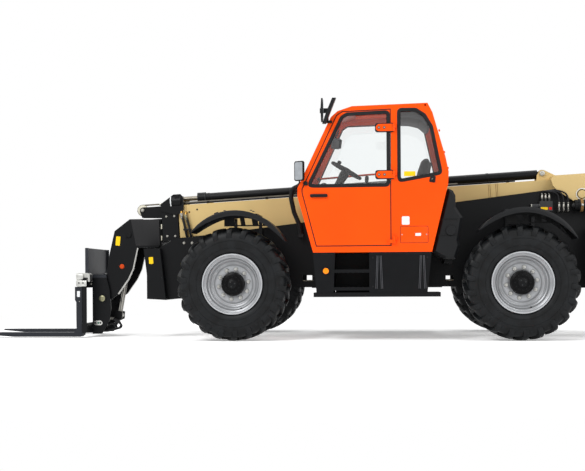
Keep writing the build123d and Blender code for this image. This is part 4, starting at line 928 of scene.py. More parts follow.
# ------------------------------------------------------------------ rims
def rim_mesh(corner):
    """A pressed steel rim with rolled flanges, stepped well and dark planetary hub."""
    center = middle(f"rim_{corner}")
    outboard = outward(center)
    # Columns: distance outboard of the wheel's middle, radius
    section = (
        (-0.198, 0.326), (-0.196, 0.33), (-0.186, 0.3305), (-0.183, 0.327), (-0.168, 0.3022), (0.168, 0.3022),
        (0.183, 0.327), (0.186, 0.3305), (0.193, 0.3305), (0.1975, 0.327), (0.1985, 0.322), (0.1965, 0.316),
        (0.188, 0.3125), (0.176, 0.3105), (0.166, 0.3045), (0.16, 0.2965), (0.158, 0.29), (0.15, 0.2855),
        (0.137, 0.2835), (0.126, 0.2815), (0.119, 0.276), (0.116, 0.268), (0.112, 0.2635), (0.1, 0.261),
        (0.09, 0.2575), (0.083, 0.25), (0.08, 0.24), (0.077, 0.2335), (0.07, 0.2285), (0.066, 0.22),
        (0.0645, 0.208), (0.0645, 0.196), (0.0675, 0.192), (0.0675, 0.138), (0.066, 0.1345), (0.0662, 0.126),
        (0.07, 0.1243), (0.148, 0.124), (0.1545, 0.1215), (0.158, 0.116), (0.159, 0.108), (0.163, 0.103),
        (0.17, 0.1), (0.172, 0.094), (0.172, 0.062), (0.178, 0.057), (0.18, 0.05), (0.18, 0.0407),
        (-0.06, 0.0407), (-0.06, 0.14), (0.04, 0.144), (0.044, 0.255), (0.038, 0.266), (-0.148, 0.274),
        (-0.19, 0.297), (-0.197, 0.308)
    )
    disc = turned(
        "disc", [(o * outboard, r) for o, r in section], center, RIGHT, f"wheel_{corner}", 96, closed=True
    )
    out = Vector((0, outboard, 0))
    parts = [disc]
    for k in range(12):
        spoke = spoke_at(k / 12)
        parts.append(hex_bolt("bolt", center + out * 0.171 + spoke * 0.08, out, 0.015, 0.008, "black"))
    for k in range(24):
        spoke = spoke_at((k + 0.5) / 24)
        parts.append(prism(
            "fin", rounded(0.05, 0.006, 0.0015, 1), -0.002, 0.0052,
            on_face(center + spoke * 0.1238 + out * 0.115, spoke, Vector(UP).cross(spoke)), "black"
        ))
    cap = turned(
        "cap",
        [
            (0.176, 0.0), (0.176, 0.046), (0.186, 0.044), (0.19, 0.036), (0.191, 0.018), (0.196, 0.016),
            (0.196, 0.0)
        ],
        center, out, "black", 40
    )
    parts.append(cap)
    for k in range(3):
        spoke = spoke_at((k + 0.1) / 3)
        parts.append(hex_bolt("plug", center + out * 0.19 + spoke * 0.028, out, 0.011, 0.006, "iron"))
    rim = joined(f"rim_dressed_{corner}", parts)
    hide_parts(f"rim_{corner}")
    ride(rim, f"wheel_{corner}")


# ------------------------------------------------------------------ cab
# Outlines are (station, height); they follow the frame's window edges
DOOR_WINDOW = ((0.842, 1.68), (1.2, 2.4), (1.252, 2.432), (1.684, 2.448), (1.684, 1.68))
QUARTER_WINDOW = (
    (1.812, 1.724), (1.812, 2.47), (1.982, 2.467), (2.07, 2.41), (2.142, 2.288), (2.24, 1.8), (2.128, 1.78)
)
RIGHT_WINDOW = ((0.86, 1.7), (1.17, 2.38), (1.23, 2.42), (2.06, 2.44), (2.1, 2.38), (2.23, 1.8), (2.2, 1.7))
DOOR_EDGE = (
    (0.915, 1.027), (0.765, 1.6), (0.765, 1.64), (1.14, 2.425), (1.2, 2.465), (1.712, 2.482), (1.712, 1.027)
)
CAB_LEFT = -1.15
CAB_MIDDLE = -0.76
CAB_RIGHT = -0.37
SCREEN_FOOT = (0.712, 1.65)
SCREEN_HEAD = (1.078, 2.412)
CONSOLE_MIDDLE = -0.478
# Outlines of (station, height) are placed by these
CAB_SIDE_VIEW = on_face(at(0, CAB_MIDDLE, 0), LEFT, UP)
CONSOLE_SIDE_VIEW = on_face(at(0, CONSOLE_MIDDLE, 0), LEFT, UP)


def cab_face(x, z):
    """A matrix that stands a piece on the cab's left face."""
    return on_face(at(x, CAB_LEFT, z), LEFT, UP)


def side_gasket(name, outline, y, out, inside, outside, thick=0.007):
    """A glazing strip in one of the cab's side walls."""
    cx, cz = center_of(outline)
    flip = 1 if out.y < 0 else -1
    flat = [((x - cx) * flip, z - cz) for x, z in outline]
    return gasket(name, flat, at(cx, y, cz), out, UP, inside, outside, thick)


def screen_point(height):
    """The windscreen face's station at a height."""
    share = (height - SCREEN_FOOT[1]) / (SCREEN_HEAD[1] - SCREEN_FOOT[1])
    return SCREEN_FOOT[0] + (SCREEN_HEAD[0] - SCREEN_FOOT[0]) * share


def screen_directions():
    """The ways up along the windscreen and out of it."""
    rise = Vector((SCREEN_HEAD[0] - SCREEN_FOOT[0], 0, SCREEN_HEAD[1] - SCREEN_FOOT[1])).normalized()
    return rise, Vector((-rise.z, 0, rise.x))


def cab_seals():
    """Rubber strips round all the panes."""
    left, right = Vector(LEFT), Vector(RIGHT)
    door = side_gasket("door_seal", DOOR_WINDOW, CAB_LEFT, left, 0.012, 0.026)
    ride(door, "cab_door")
    parts = [
        side_gasket("quarter_seal", QUARTER_WINDOW, CAB_LEFT, left, 0.012, 0.026),
        side_gasket("right_seal", RIGHT_WINDOW, CAB_RIGHT, right, 0.012, 0.026),
    ]
    rise, out = screen_directions()
    low, high = 1.7, 2.36
    foot = at(screen_point(low), CAB_MIDDLE, low)
    head = at(screen_point(high), CAB_MIDDLE, high)
    half_w, half_h = 0.33, (head - foot).length / 2
    frame_edge = ((-half_w, -half_h), (half_w, -half_h), (half_w, half_h), (-half_w, half_h))
    parts.append(gasket("screen_seal", frame_edge, (foot + head) / 2, out, rise, 0.012, 0.028, 0.007))
    fit("window_seals", parts, "chassis")


def wiper():
    """Windscreen wiper: motor boss, arm and blade lying on the glass."""
    _, out = screen_directions()

    def spot(y, height, lift):
        return at(screen_point(height), y, height) + out * lift

    parts = [
        turned(
            "boss", [(-0.004, 0.026), (0.014, 0.026), (0.022, 0.018), (0.03, 0.012)],
            spot(CAB_MIDDLE, 1.672, 0), out, "plastic", 24
        ),
        tube(
            "arm", [spot(CAB_MIDDLE, 1.672, 0.024), spot(-0.8, 1.78, 0.032), spot(-0.9, 2.02, 0.02)], 0.006,
            "plastic"
        ),
    ]
    blade = [spot(-0.845, 1.8, 0.012), spot(-0.9, 2.02, 0.013), spot(-0.955, 2.24, 0.012)]
    parts.append(tube("blade", blade, 0.007, "seal"))
    fit("wiper", parts, "chassis")


def edge_strip(name, outline, low, high, y, thick):
    """A flat rubber strip along a closed line on the cab's left face, between two offsets from it."""
    inner, outer = (offset_outline(outline, d) for d in (low, high))
    n = len(inner)
    verts = [at(x, y, z) for x, z in outer + inner]
    verts += [v + Vector((0, thick, 0)) for v in verts]
    faces = []
    for k in range(n):
        m = (k + 1) % n
        faces += [
            (k, m, n + m, n + k), (2 * n + k, 2 * n + m, 3 * n + m, 3 * n + k), (k, m, 2 * n + m, 2 * n + k),
            (n + k, n + m, 3 * n + m, 3 * n + k)
        ]
    return mesh_object(name, verts, faces, "seal", smooth=False)


def door_seam():
    """The rubber that shows in the gap round the door, and the thin lips at both sides of it."""
    parts = [
        edge_strip("gap", DOOR_EDGE, 0.0006, 0.0045, CAB_LEFT + 0.0015, 0.012),
        edge_strip("lip", DOOR_EDGE, 0.0052, 0.008, CAB_LEFT - 0.0008, 0.001),
    ]
    fit("door_gap", parts, "chassis")
    ride(edge_strip("door_lip", DOOR_EDGE, -0.003, -0.0002, CAB_LEFT - 0.0008, 0.001), "cab_door")


def hinge_details():
    """Bolts and dark gaskets on the door's straps."""
    left = Vector(LEFT)
    parts = []
    for z in (1.783, 2.286):
        outline = softened(((-0.1, -0.049), (0.106, -0.049), (0.106, 0.049), (-0.1, 0.049)), 0.03, 6)
        parts.append(prism(
            "strap_pad", outline, 0, 0.011, on_face(at(1.65, -1.1575, z), left, UP), "seal", 0.002
        ))
        for x in (1.592, 1.65):
            parts += [
                turned("strap_recess", [(0, 0.015), (0.0008, 0.015)], at(x, -1.1762, z), left, "seal", 24),
                hex_bolt("strap_bolt", at(x, -1.1768, z), left, 0.014, 0.006),
            ]
    fit("hinge_bolts", parts, "cab_door")


def cab_details():
    """Labels, lock, panel, trim clips and handle parts on the cab's left side."""
    left = Vector(LEFT)
    parts = [
        film("white_label", at(1.872, CAB_LEFT, 1.29), left, UP, 0.082, 0.09, "white"),
        film("small_label", at(2.004, CAB_LEFT - 0.0015, 1.14), left, UP, 0.06, 0.03, "white"),
        film("glass_label", at(1.918, CAB_LEFT + 0.0168, 1.792), left, UP, 0.122, 0.052, "label"),
        prism("panel", rounded(0.29, 0.172, 0.012), 0, 0.0016, cab_face(1.962, 1.14), "orange", 0.0007),
    ]
    seam = rounded(0.3, 0.182, 0.016)
    parts.append(prism("panel_seam", seam, 0, 0.0004, cab_face(1.962, 1.14), "seal"))
    for x in (1.832, 2.092):
        parts.append(turned(
            "panel_screw", [(0, 0.007), (0.002, 0.0065), (0.003, 0.004)], at(x, CAB_LEFT - 0.0016, 1.14),
            left, "zinc", 16
        ))
    lock = at(2.158, CAB_LEFT, 1.728)
    parts += [
        prism(
            "lock_plate", softened(((-0.036, -0.028), (0.026, -0.038), (0.038, 0.03), (-0.02, 0.038)), 0.012),
            0, 0.007, on_face(lock, left, UP), "seal", 0.002
        ),
        turned(
            "lock_dial", [(0.006, 0.02), (0.012, 0.02), (0.014, 0.018), (0.014, 0.0)], lock, left, "plastic",
            28
        ),
        turned("lock_barrel", [(0.013, 0.008), (0.017, 0.0075), (0.018, 0.0)], lock, left, "zinc", 20),
        prism(
            "lock_lever", rounded(0.044, 0.012, 0.005), 0.012, 0.02,
            on_face(lock + Vector((0.014, 0, -0.014)), left, (0.7, 0, 0.7)), "plastic", 0.002
        ),
    ]
    for x, z, dx, dz in (
        (2.15, 2.447, 0.88, 0.48), (2.236, 2.25, 0.96, 0.28), (2.288, 2.018, 0.97, 0.25),
        (2.326, 1.848, 0.99, 0.15)
    ):
        parts.append(turned(
            "clip", [(-0.004, 0.012), (0.008, 0.012), (0.012, 0.009), (0.013, 0.0)],
            at(x - 0.005, CAB_LEFT + 0.03, z), (dx, 0, dz), "orange", 16
        ))
    fit("cab_fittings", parts, "chassis")
    handle = at(0.944, CAB_LEFT - 0.0265, 1.567)
    grip = prism(
        "handle_grip", rounded(0.176, 0.026, 0.012), 0, 0.004, on_face(handle, left, UP), "plastic", 0.0015
    )
    push = turned(
        "handle_push", [(0, 0.009), (0.006, 0.009), (0.008, 0.006), (0.008, 0)],
        at(0.875, CAB_LEFT - 0.03, 1.567), left, "seal", 20
    )
    fit("handle_grip", [grip, push], "cab_door")


def interior():
    """Roof lining, side console with its levers, steering column parts, rail, screen and gauges."""
    parts = []
    lining = softened(
        (
            (1.8, 2.456), (1.99, 2.47), (2.086, 2.436), (2.15, 2.33), (2.118, 2.296), (2.03, 2.372),
            (1.93, 2.398), (1.8, 2.404)
        ),
        0.02
    )
    parts.append(prism("lining", lining, -0.32, 0.32, CAB_SIDE_VIEW, "lining", 0.006))
    console = softened(
        ((1.36, 1.33), (1.36, 1.62), (1.42, 1.69), (1.82, 1.7), (1.9, 1.66), (1.9, 1.33)), 0.03
    )
    parts.append(prism("side_console", console, -0.05, 0.05, CONSOLE_SIDE_VIEW, "plastic", 0.008))
    pad = softened(((1.5, 1.702), (1.5, 1.74), (1.84, 1.748), (1.86, 1.704)), 0.015)
    parts.append(prism("arm_rest", pad, -0.042, 0.042, CONSOLE_SIDE_VIEW, "seal", 0.01, 3))
    stick = at(1.44, CONSOLE_MIDDLE, 1.69)
    parts += [
        turned(
            "boot",
            [
                (0, 0.034), (0.008, 0.034), (0.016, 0.026), (0.022, 0.029), (0.03, 0.02), (0.036, 0.023),
                (0.044, 0.014), (0.05, 0.01)
            ],
            stick, (0.08, 0, 1), "seal", 28
        ),
        turned(
            "stick",
            [
                (0.04, 0.009), (0.072, 0.012), (0.082, 0.019), (0.11, 0.023), (0.132, 0.022), (0.146, 0.016),
                (0.15, 0.0)
            ],
            stick, (0.08, 0, 1), "plastic", 24
        ),
    ]
    for x in (1.56, 1.61):
        parts.append(turned(
            "knob", [(0, 0.004), (0.05, 0.004), (0.055, 0.01), (0.07, 0.012), (0.078, 0.0)],
            at(x - 0.12, -0.44, 1.69), (0, 0.05, 1), "plastic", 16
        ))
    parts += [
        tube(
            "rail",
            [
                at(0.905, -0.425, 1.814),
                at(1.23, -0.425, 1.838),
                at(1.553, -0.425, 1.862),
                at(1.575, -0.4, 1.862),
            ],
            0.011, "orange", 12
        ),
        turned(
            "rail_knob", [(-0.018, 0.0), (-0.014, 0.014), (0, 0.019), (0.014, 0.014), (0.018, 0.0)],
            at(0.9, -0.425, 1.814), UP, "seal", 20
        ),
        turned(
            "gauge_dome",
            [(-0.06, 0.046), (0, 0.048), (0.018, 0.044), (0.034, 0.034), (0.044, 0.018), (0.047, 0.0)],
            at(0.965, -0.56, 1.712), UP, "lining", 32
        ),
        tube(
            "gauge_stalk", [at(0.965, -0.56, 1.66), at(0.965, -0.59, 1.58), at(0.955, -0.62, 1.5)], 0.018,
            "plastic"
        ),
    ]
    hood = softened(((0.862, 1.545), (0.905, 1.655), (0.985, 1.668), (1.042, 1.6), (1.03, 1.53)), 0.022)
    parts.append(prism("cluster", hood, -0.13, 0.13, CAB_SIDE_VIEW, "plastic", 0.008))
    screen = at(1.098, -0.44, 2.216)
    tilt = (0.12, 0, 1)
    parts += [
        prism(
            "screen_case", rounded(0.1, 0.122, 0.014), -0.022, 0.022, on_face(screen, LEFT, tilt), "lining",
            0.006
        ),
        prism(
            "screen_face", rounded(0.03, 0.1, 0.01), -0.024, 0.024,
            on_face(screen + Vector((0.05, 0, -0.006)), LEFT, tilt), "seal", 0.004
        ),
        tube(
            "screen_arm",
            [screen + Vector((-0.02, 0, 0.05)), at(1.115, -0.425, 2.31), at(1.13, -0.405, 2.372)], 0.009,
            "seal"
        ),
    ]
    latch = softened(((-0.024, -0.044), (0.018, -0.05), (0.03, 0.04), (-0.012, 0.048)), 0.012)
    parts.append(prism(
        "latch_plate", latch, 0, 0.006, on_face(at(1.026, -0.42, 2.16), LEFT, UP), "orange", 0.0015
    ))
    for dz in (-0.022, 0.02):
        parts.append(turned(
            "latch_hole", [(0.0055, 0.007), (0.0065, 0.007)], at(1.026 + dz * 0.2, -0.42, 2.16 + dz), LEFT,
            "seal", 16
        ))
    parts.append(prism(
        "floor_mat", rounded(0.86, 0.62, 0.05), 0, 0.01, on_face(at(1.46, CAB_MIDDLE, 0.996), UP, (0, 1, 0)),
        "seal", 0.003
    ))
    for x, y in ((1.085, -0.68), (1.085, -0.84)):
        face = on_face(at(x, y, 1.115), (0.75, 0, 0.65), UP)
        parts += [
            prism("pedal", rounded(0.075, 0.11, 0.014), 0, 0.014, face, "seal", 0.004),
            tube(
                "pedal_arm", [at(x - 0.02, y, 1.11), at(x - 0.05, y, 1.05), at(x - 0.06, y, 0.998)], 0.008,
                "steel"
            ),
        ]
    fit("cab_interior", parts, "chassis")


STEER_CENTER = (1.228, CAB_MIDDLE, 1.872)
STEER_R = 0.182


def steering_wheel():
    """A padded rim with finger ridges over the frame's ring, horn pad and column shroud."""
    lean = atan2(0.21, 0.36)
    axis = Vector((sin(lean), 0, cos(lean)))
    center = at(*STEER_CENTER)
    side = Vector((0, 1, 0))
    ahead = side.cross(axis)
    verts = []
    rings, ring_sides = 96, 12
    for k in range(rings):
        a = 2 * pi * k / rings
        spoke = ahead * cos(a) + side * sin(a)
        thick = 0.015 + 0.0012 * cos(24 * a)
        for i in range(ring_sides):
            b = 2 * pi * i / ring_sides
            verts.append(center + spoke * (STEER_R - 0.005 + thick * cos(b)) + axis * (thick * 1.05 * sin(b)))
    grip = mesh_object("grip", verts, net(rings, ring_sides, True), "seal")
    horn = turned(
        "horn", [(0.01, 0.048), (0.018, 0.05), (0.026, 0.046), (0.03, 0.034), (0.031, 0.0)], center, axis,
        "plastic", 40
    )
    shroud = turned(
        "shroud",
        [(-0.34, 0.04), (-0.14, 0.044), (-0.06, 0.052), (-0.03, 0.05), (-0.022, 0.04), (-0.02, 0.0)], center,
        axis, "plastic", 32
    )
    knob = turned(
        "spinner", [(0.0, 0.012), (0.012, 0.012), (0.016, 0.02), (0.034, 0.024), (0.046, 0.018), (0.05, 0.0)],
        center + ahead * -0.1 + side * -0.145, axis, "plastic", 28
    )
    stalk = tube(
        "stalk",
        [center - axis * 0.07, center - axis * 0.06 - side * 0.1, center - axis * 0.04 - side * 0.19], 0.007,
        "plastic"
    )
    fit("steering_grip", [grip, horn, shroud, knob, stalk], "chassis")


# ------------------------------------------------------------------ seat
def cushion_form(name, sections, width, finish):
    """A closed pad: side sections (station, height) swept across the seat with rounded ends."""
    verts = []
    slices = 14
    cx, cz = center_of(sections)
    for s in range(slices + 1):
        u = 2 * s / slices - 1
        pull = 1 - 0.14 * abs(u) ** 6
        for x, z in sections:
            verts.append(at(cx + (x - cx) * pull, CAB_MIDDLE + u * width / 2, cz + (z - cz) * pull))
    shape = (slices + 1, len(sections))
    return mesh_object(name, verts, net(*shape) + ends(*shape), finish)


def inflate(obj, voxel, pressure, frames, swell):
    """Remeshes a pad and blows it up as cloth, then applies the result; no point moves more than swell."""
    mod = obj.modifiers.new("mesh", "REMESH")
    mod.mode = "VOXEL"
    mod.voxel_size = voxel
    apply_modifiers(obj)
    start = [vert.co.copy() for vert in obj.data.vertices]
    cloth = obj.modifiers.new("cloth", "CLOTH")
    cloth.settings.quality = 6
    cloth.settings.mass = 0.25
    cloth.settings.tension_stiffness = 12
    cloth.settings.compression_stiffness = 12
    cloth.settings.bending_stiffness = 0.8
    cloth.settings.use_pressure = True
    cloth.settings.uniform_pressure_force = pressure
    cloth.settings.effector_weights.gravity = 0
    cloth.point_cache.frame_start = 1
    cloth.point_cache.frame_end = frames
    scene = bpy.context.scene
    for frame_number in range(1, frames + 1):
        scene.frame_set(frame_number)
    apply_modifiers(obj)
    scene.frame_set(1)
    for vert, place in zip(obj.data.vertices, start):
        move = vert.co - place
        if move.length > swell:
            vert.co = place + move.normalized() * swell
    return obj


def sew_channels(obj, lines, depth, width):
    """Presses sewn channels into a pad: lines are (point, direction across, direction in)."""
    mesh = obj.data
    for vert in mesh.vertices:
        for point, across, inward in lines:
            away = abs((vert.co - point).dot(across))
            if away < width * 2.5 and (vert.co - point).dot(inward) < 0:
                vert.co += inward * (depth * bell(away / width))
    mesh.update()


def bell(t):
    """A smooth bump that is 1 at 0 and fades out by 2.5."""
    return max(0.0, 1 - (t / 2.5) ** 2) ** 3


SEAT_FRONT = 1.5
PAD_VOXEL = 0.006
PAD_PRESSURE = 4.0
PAD_FRAMES = 12
PAD_SWELL = 0.012
CHANNEL_DEPTH, CHANNEL_WIDTH = 0.01, 0.006


def seat_pads():
    """The seat's two blown-up pads with sewn channels, and their shell, belt and bellows."""
    x = SEAT_FRONT
    base = softened(
        (
            (x + 0.005, 1.345), (x + 0.005, 1.425), (x + 0.06, 1.462), (x + 0.4, 1.44), (x + 0.455, 1.4),
            (x + 0.455, 1.345)
        ),
        0.03
    )
    back = softened(
        (
            (x + 0.405, 1.445), (x + 0.465, 1.385), (x + 0.56, 1.44), (x + 0.645, 1.93), (x + 0.628, 1.984),
            (x + 0.575, 1.984), (x + 0.53, 1.86), (x + 0.47, 1.64)
        ),
        0.03
    )
    pads = []
    for name, section, width in (("seat_cushion", base, 0.45), ("seat_back", back, 0.44)):
        pad = cushion_form(name, section, width, "cloth")
        inflate(pad, PAD_VOXEL, PAD_PRESSURE, PAD_FRAMES, PAD_SWELL)
        pads.append(pad)
    low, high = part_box("operator_seat")
    cushion, rest = pads
    up = Vector((0, 0, 1))
    lines = [(at(x + 0.23, CAB_MIDDLE + dy, 1.36), Vector((0, 1, 0)), -up) for dy in (-0.13, 0.13)]
    lines += [(at(x + dx, CAB_MIDDLE, 1.36), Vector((1, 0, 0)), -up) for dx in (0.15, 0.3)]
    sew_channels(cushion, lines, CHANNEL_DEPTH, CHANNEL_WIDTH)
    lean = Vector((-0.97, 0, 0.22)).normalized()
    lines = [(at(x + 0.56, CAB_MIDDLE + dy, 1.7), Vector((0, 1, 0)), -lean) for dy in (-0.13, 0.13)]
    climb = Vector((0.22, 0, 0.97)).normalized()
    lines += [(at(x + 0.56, CAB_MIDDLE, z), climb, -lean) for z in (1.62, 1.78)]
    sew_channels(rest, lines, CHANNEL_DEPTH, CHANNEL_WIDTH)
    for pad in pads:
        for vert in pad.data.vertices:
            vert.co.x = min(max(vert.co.x, low.x - 0.004), high.x + 0.004)
            vert.co.y = min(max(vert.co.y, low.y - 0.006), high.y + 0.006)
            vert.co.z = min(max(vert.co.z, low.z), high.z + 0.006)
        mod = pad.modifiers.new("soft", "SMOOTH")
        mod.iterations = 2
        mod.factor = 0.4
        apply_modifiers(pad)
        smooth_by_angle(pad, 80)
    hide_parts("operator_seat")
    for pad in pads:
        ride(pad, "chassis")
    shell = softened(
        (
            (x + 0.468, 1.372), (x + 0.575, 1.428), (x + 0.662, 1.93), (x + 0.64, 1.93), (x + 0.56, 1.45),
            (x + 0.46, 1.392)
        ),
        0.008
    )
    parts = [prism("shell", shell, -0.19, 0.19, CAB_SIDE_VIEW, "plastic", 0.004)]
    buckle = at(x + 0.36, -0.985, 1.455)
    parts += [
        tube("belt_stalk", [at(x + 0.4, -0.985, 1.34), at(x + 0.38, -0.987, 1.4), buckle], 0.008, "seal"),
        prism(
            "buckle", rounded(0.03, 0.055, 0.008), -0.01, 0.01, on_face(buckle, LEFT, (-0.3, 0, 1)), "red",
            0.003
        ),
    ]
    bellows = []
    for k in range(12):
        z = 1.02 + k * 0.025
        grow = 0.012 if k % 2 else 0.0
        bellows.append((z - 1.02, 0.205 + grow))
    parts.append(turned("bellows", bellows, at(x + 0.23, CAB_MIDDLE, 1.02), UP, "seal", 48))
    fit("seat_fittings", parts, "chassis")


# ------------------------------------------------------------------ boom and carriage
# Places on the boom are measured from its pivot, along and square to its slope
PIVOT = (3.86, 1.607)  # station and height of the boom pin
BOOM_SLOPE = radians(3.2)
RAM_UP = 0.288
RAM_ACROSS = (cos(BOOM_SLOPE), 0, sin(BOOM_SLOPE))
BOOM_UP = (-sin(BOOM_SLOPE), 0, cos(BOOM_SLOPE))


def boom_at(x, y, z):
    """A point from its place along and above the boom's pivot, with the boom at rest."""
    c, s = cos(BOOM_SLOPE), sin(BOOM_SLOPE)
    return at(PIVOT[0] + x * c - z * s, y, PIVOT[1] + x * s + z * c)


def ribbon(name, points, y0, y1, thick, finish):
    """A flat bar bent along a side view's line, standing outward of it."""
    n = len(points)
    normals = []
    for k in range(n):
        before, after = Vector(points[max(0, k - 1)]), Vector(points[min(n - 1, k + 1)])
        run = (after - before).normalized()
        normals.append(Vector((run.y, -run.x)))
    verts = []
    for (x, z), normal in zip(points, normals):
        far = Vector((x, z)) + normal * thick
        verts += [at(x, y0, z), at(far.x, y0, far.y), at(far.x, y1, far.y), at(x, y1, z)]
    return mesh_object(name, verts, net(n, 4) + ends(n, 4), finish, smooth=False)


def ferrule(name, center, axis, radius, finish="zinc"):
    """A crimped hose end with its hexagon nut."""
    axis = Vector(axis).normalized()
    sleeve = turned(
        name,
        [
            (-0.052, radius * 1.05), (-0.05, radius * 1.28), (-0.036, radius * 1.28), (-0.034, radius * 1.16),
            (-0.026, radius * 1.16), (-0.024, radius * 1.28), (-0.01, radius * 1.28), (-0.008, radius)
        ],
        center, axis, finish, 20
    )
    nut = turned(
        name + "_nut", [(-0.012, radius * 1.5), (0.006, radius * 1.62), (0.01, radius * 1.45)], center, axis,
        finish, 6
    )
    return joined(name, [sleeve, nut])


def collar_fittings():
    """Bolts, rod-eye drum, wear pads and chain anchor on the second section's collar."""
    parts = []
    for side in SIDES:
        collar = ((-0.924, 1.419), (-0.828, 1.424), (-0.913, 1.188), (-0.818, 1.187))
        parts += bolt_row("collar_bolt", [(x, side * 0.2, z) for x, z in collar], (0, side, 0), 0.019, 0.01)
        drum = boom_at(-4.652, side * 0.166, 0.25)
        parts += [
            turned(
                "drum",
                [(-0.06, 0.03), (-0.06, 0.07), (-0.054, 0.075), (0.048, 0.075), (0.06, 0.066), (0.06, 0.03)],
                drum, RAM_ACROSS, "black", 40
            ),
            # Painted highlight: a white ring on the drum's front end stands for the light on the collar's
            # front edge
            turned(
                "drum_highlight_ring", [(-0.073, 0.06), (-0.073, 0.075), (-0.061, 0.0765), (-0.06, 0.06)], drum,
                RAM_ACROSS, "white", 40
            ),
        ]
        cap = boom_at(-4.64, side * 0.228, RAM_UP)
        parts.append(turned(
            "pin_cap", [(-0.002, 0.03), (0.004, 0.03), (0.007, 0.026), (0.007, 0.0)], cap, (0, side, 0),
            "black", 28
        ))
        for z in (1.3, 1.165):
            parts.append(prism(
                "wear_pad", rounded(0.014, 0.056, 0.004), 0, 0.004, side_face(-0.982, 0.2005, z, side),
                "nylon", 0.001
            ))
    anchor = boom_at(-4.852, -0.09, 0.238)
    parts.append(turned(
        "chain_anchor", [(-0.034, 0.012), (-0.03, 0.015), (0.01, 0.015), (0.014, 0.01)], anchor, RAM_ACROSS,
        "zinc", 20
    ))
    fit("collar_fittings", parts, "boom_section_2")


def boom_hoses():
    """Hose ends, elbows and clips at the first section's nose, pivot rings, and bands on the cylinder."""
    parts = []
    for side in SIDES:
        for k, (x, z) in enumerate(((-0.742, 1.478), (-0.69, 1.462))):
            foot = at(x, side * 0.18, z)
            out = Vector((0, side, 0))
            parts.append(turned(
                "elbow_seat", [(0, 0.019), (0.01, 0.018), (0.016, 0.014), (0.024, 0.014)], foot, out, "brass",
                6
            ))
            drop = [
                foot + out * 0.02, foot + out * 0.034 + Vector((0, 0, -0.002)),
                foot + out * 0.036 + Vector((0.002, 0, -0.024))
            ]
            parts.append(tube("elbow", drop, 0.0125, "brass"))
            low = drop[-1] + Vector((0.001, 0, -0.01))
            parts += [
                ferrule("hose_end", low, (-0.12, 0, 1), 0.013, "brass_grey" if k else "zinc"),
                tube(
                    "hose",
                    [
                        low + Vector((0.003, 0, -0.02)), at(x + 0.036, side * 0.222, 1.34),
                        at(x + 0.058, side * 0.214, 1.2), at(x + 0.08, side * 0.18, 1.138),
                        at(x + 0.1, side * 0.13, 1.132), at(x + 0.16, side * 0.1, 1.142)
                    ],
                    0.015, "hose"
                ),
            ]
        parts.append(prism(
            "hose_clip", rounded(0.1, 0.022, 0.006), 0, 0.05, side_face(-0.668, 0.18, 1.262, side), "plastic",
            0.004
        ))
        for x, z in ((-0.655, 1.47), (-0.56, 1.5)):
            parts.append(turned(
                "cream_hole", [(-0.001, 0.011), (0.0006, 0.011)], at(x, side * 0.1705, z), (0, side, 0),
                "seal", 24
            ))
        for x in (-1.008, -0.992, -0.924, -0.908):
            parts.append(prism(
                "weld", [(-0.002, -0.165), (0.002, -0.165), (0.002, 0.2), (-0.002, 0.2)], 0, 0.002,
                on_face(boom_at(x, side * 0.1702, 0), (0, side, 0), BOOM_UP), "strap"
            ))
        for r, finish in ((0.068, "worn_and_highlight"), (0.052, "seal"), (0.044, "worn_and_highlight")):
            parts.append(turned(
                "pivot_ring", [(0, r), (0.004, r - 0.001), (0.0045, r - 0.01), (0, r - 0.01)],
                boom_at(0, side * 0.4005, 0), (0, side, 0), finish, 48, closed=True
            ))
        parts.append(turned(
            "rear_pin",
            [(0, 0.03), (0.006, 0.03), (0.008, 0.026), (0.008, 0.014), (0.004, 0.012), (0.004, 0)],
            boom_at(-0.38, side * 0.1105, RAM_UP), (0, side, 0), "zinc", 32
        ))
    for x in (-4.3, -3.2, -2.1, -1.0):
        parts.append(turned(
            "ram_band", [(-0.016, 0.0525), (-0.014, 0.0555), (0.014, 0.0555), (0.016, 0.0525)],
            boom_at(x, 0, RAM_UP), RAM_ACROSS, "black", 40
        ))
    for x in (-4.425, -4.335):
        parts.append(turned(
            "gland_ring", band(0.004, 0.06, 0.0655), boom_at(x, 0, RAM_UP), RAM_ACROSS, "iron", 40,
            closed=True
        ))
    fit("boom_hose_ends", parts, "boom_outer")


NECK_HALF = 0.225
FLANGE_INNER = 0.199
NECK_REAR = ((-1.262, 1.049), (-1.29, 0.924), (-1.318, 0.8), (-1.375, 0.68), (-1.437, 0.593), (-1.5, 0.505))
NECK_FRONT = (
    (-1.668, 0.555), (-1.634, 0.774), (-1.6, 0.992), (-1.57, 1.121), (-1.54, 1.25), (-1.449, 1.319),
    (-1.358, 1.388), (-1.2, 1.388)
)


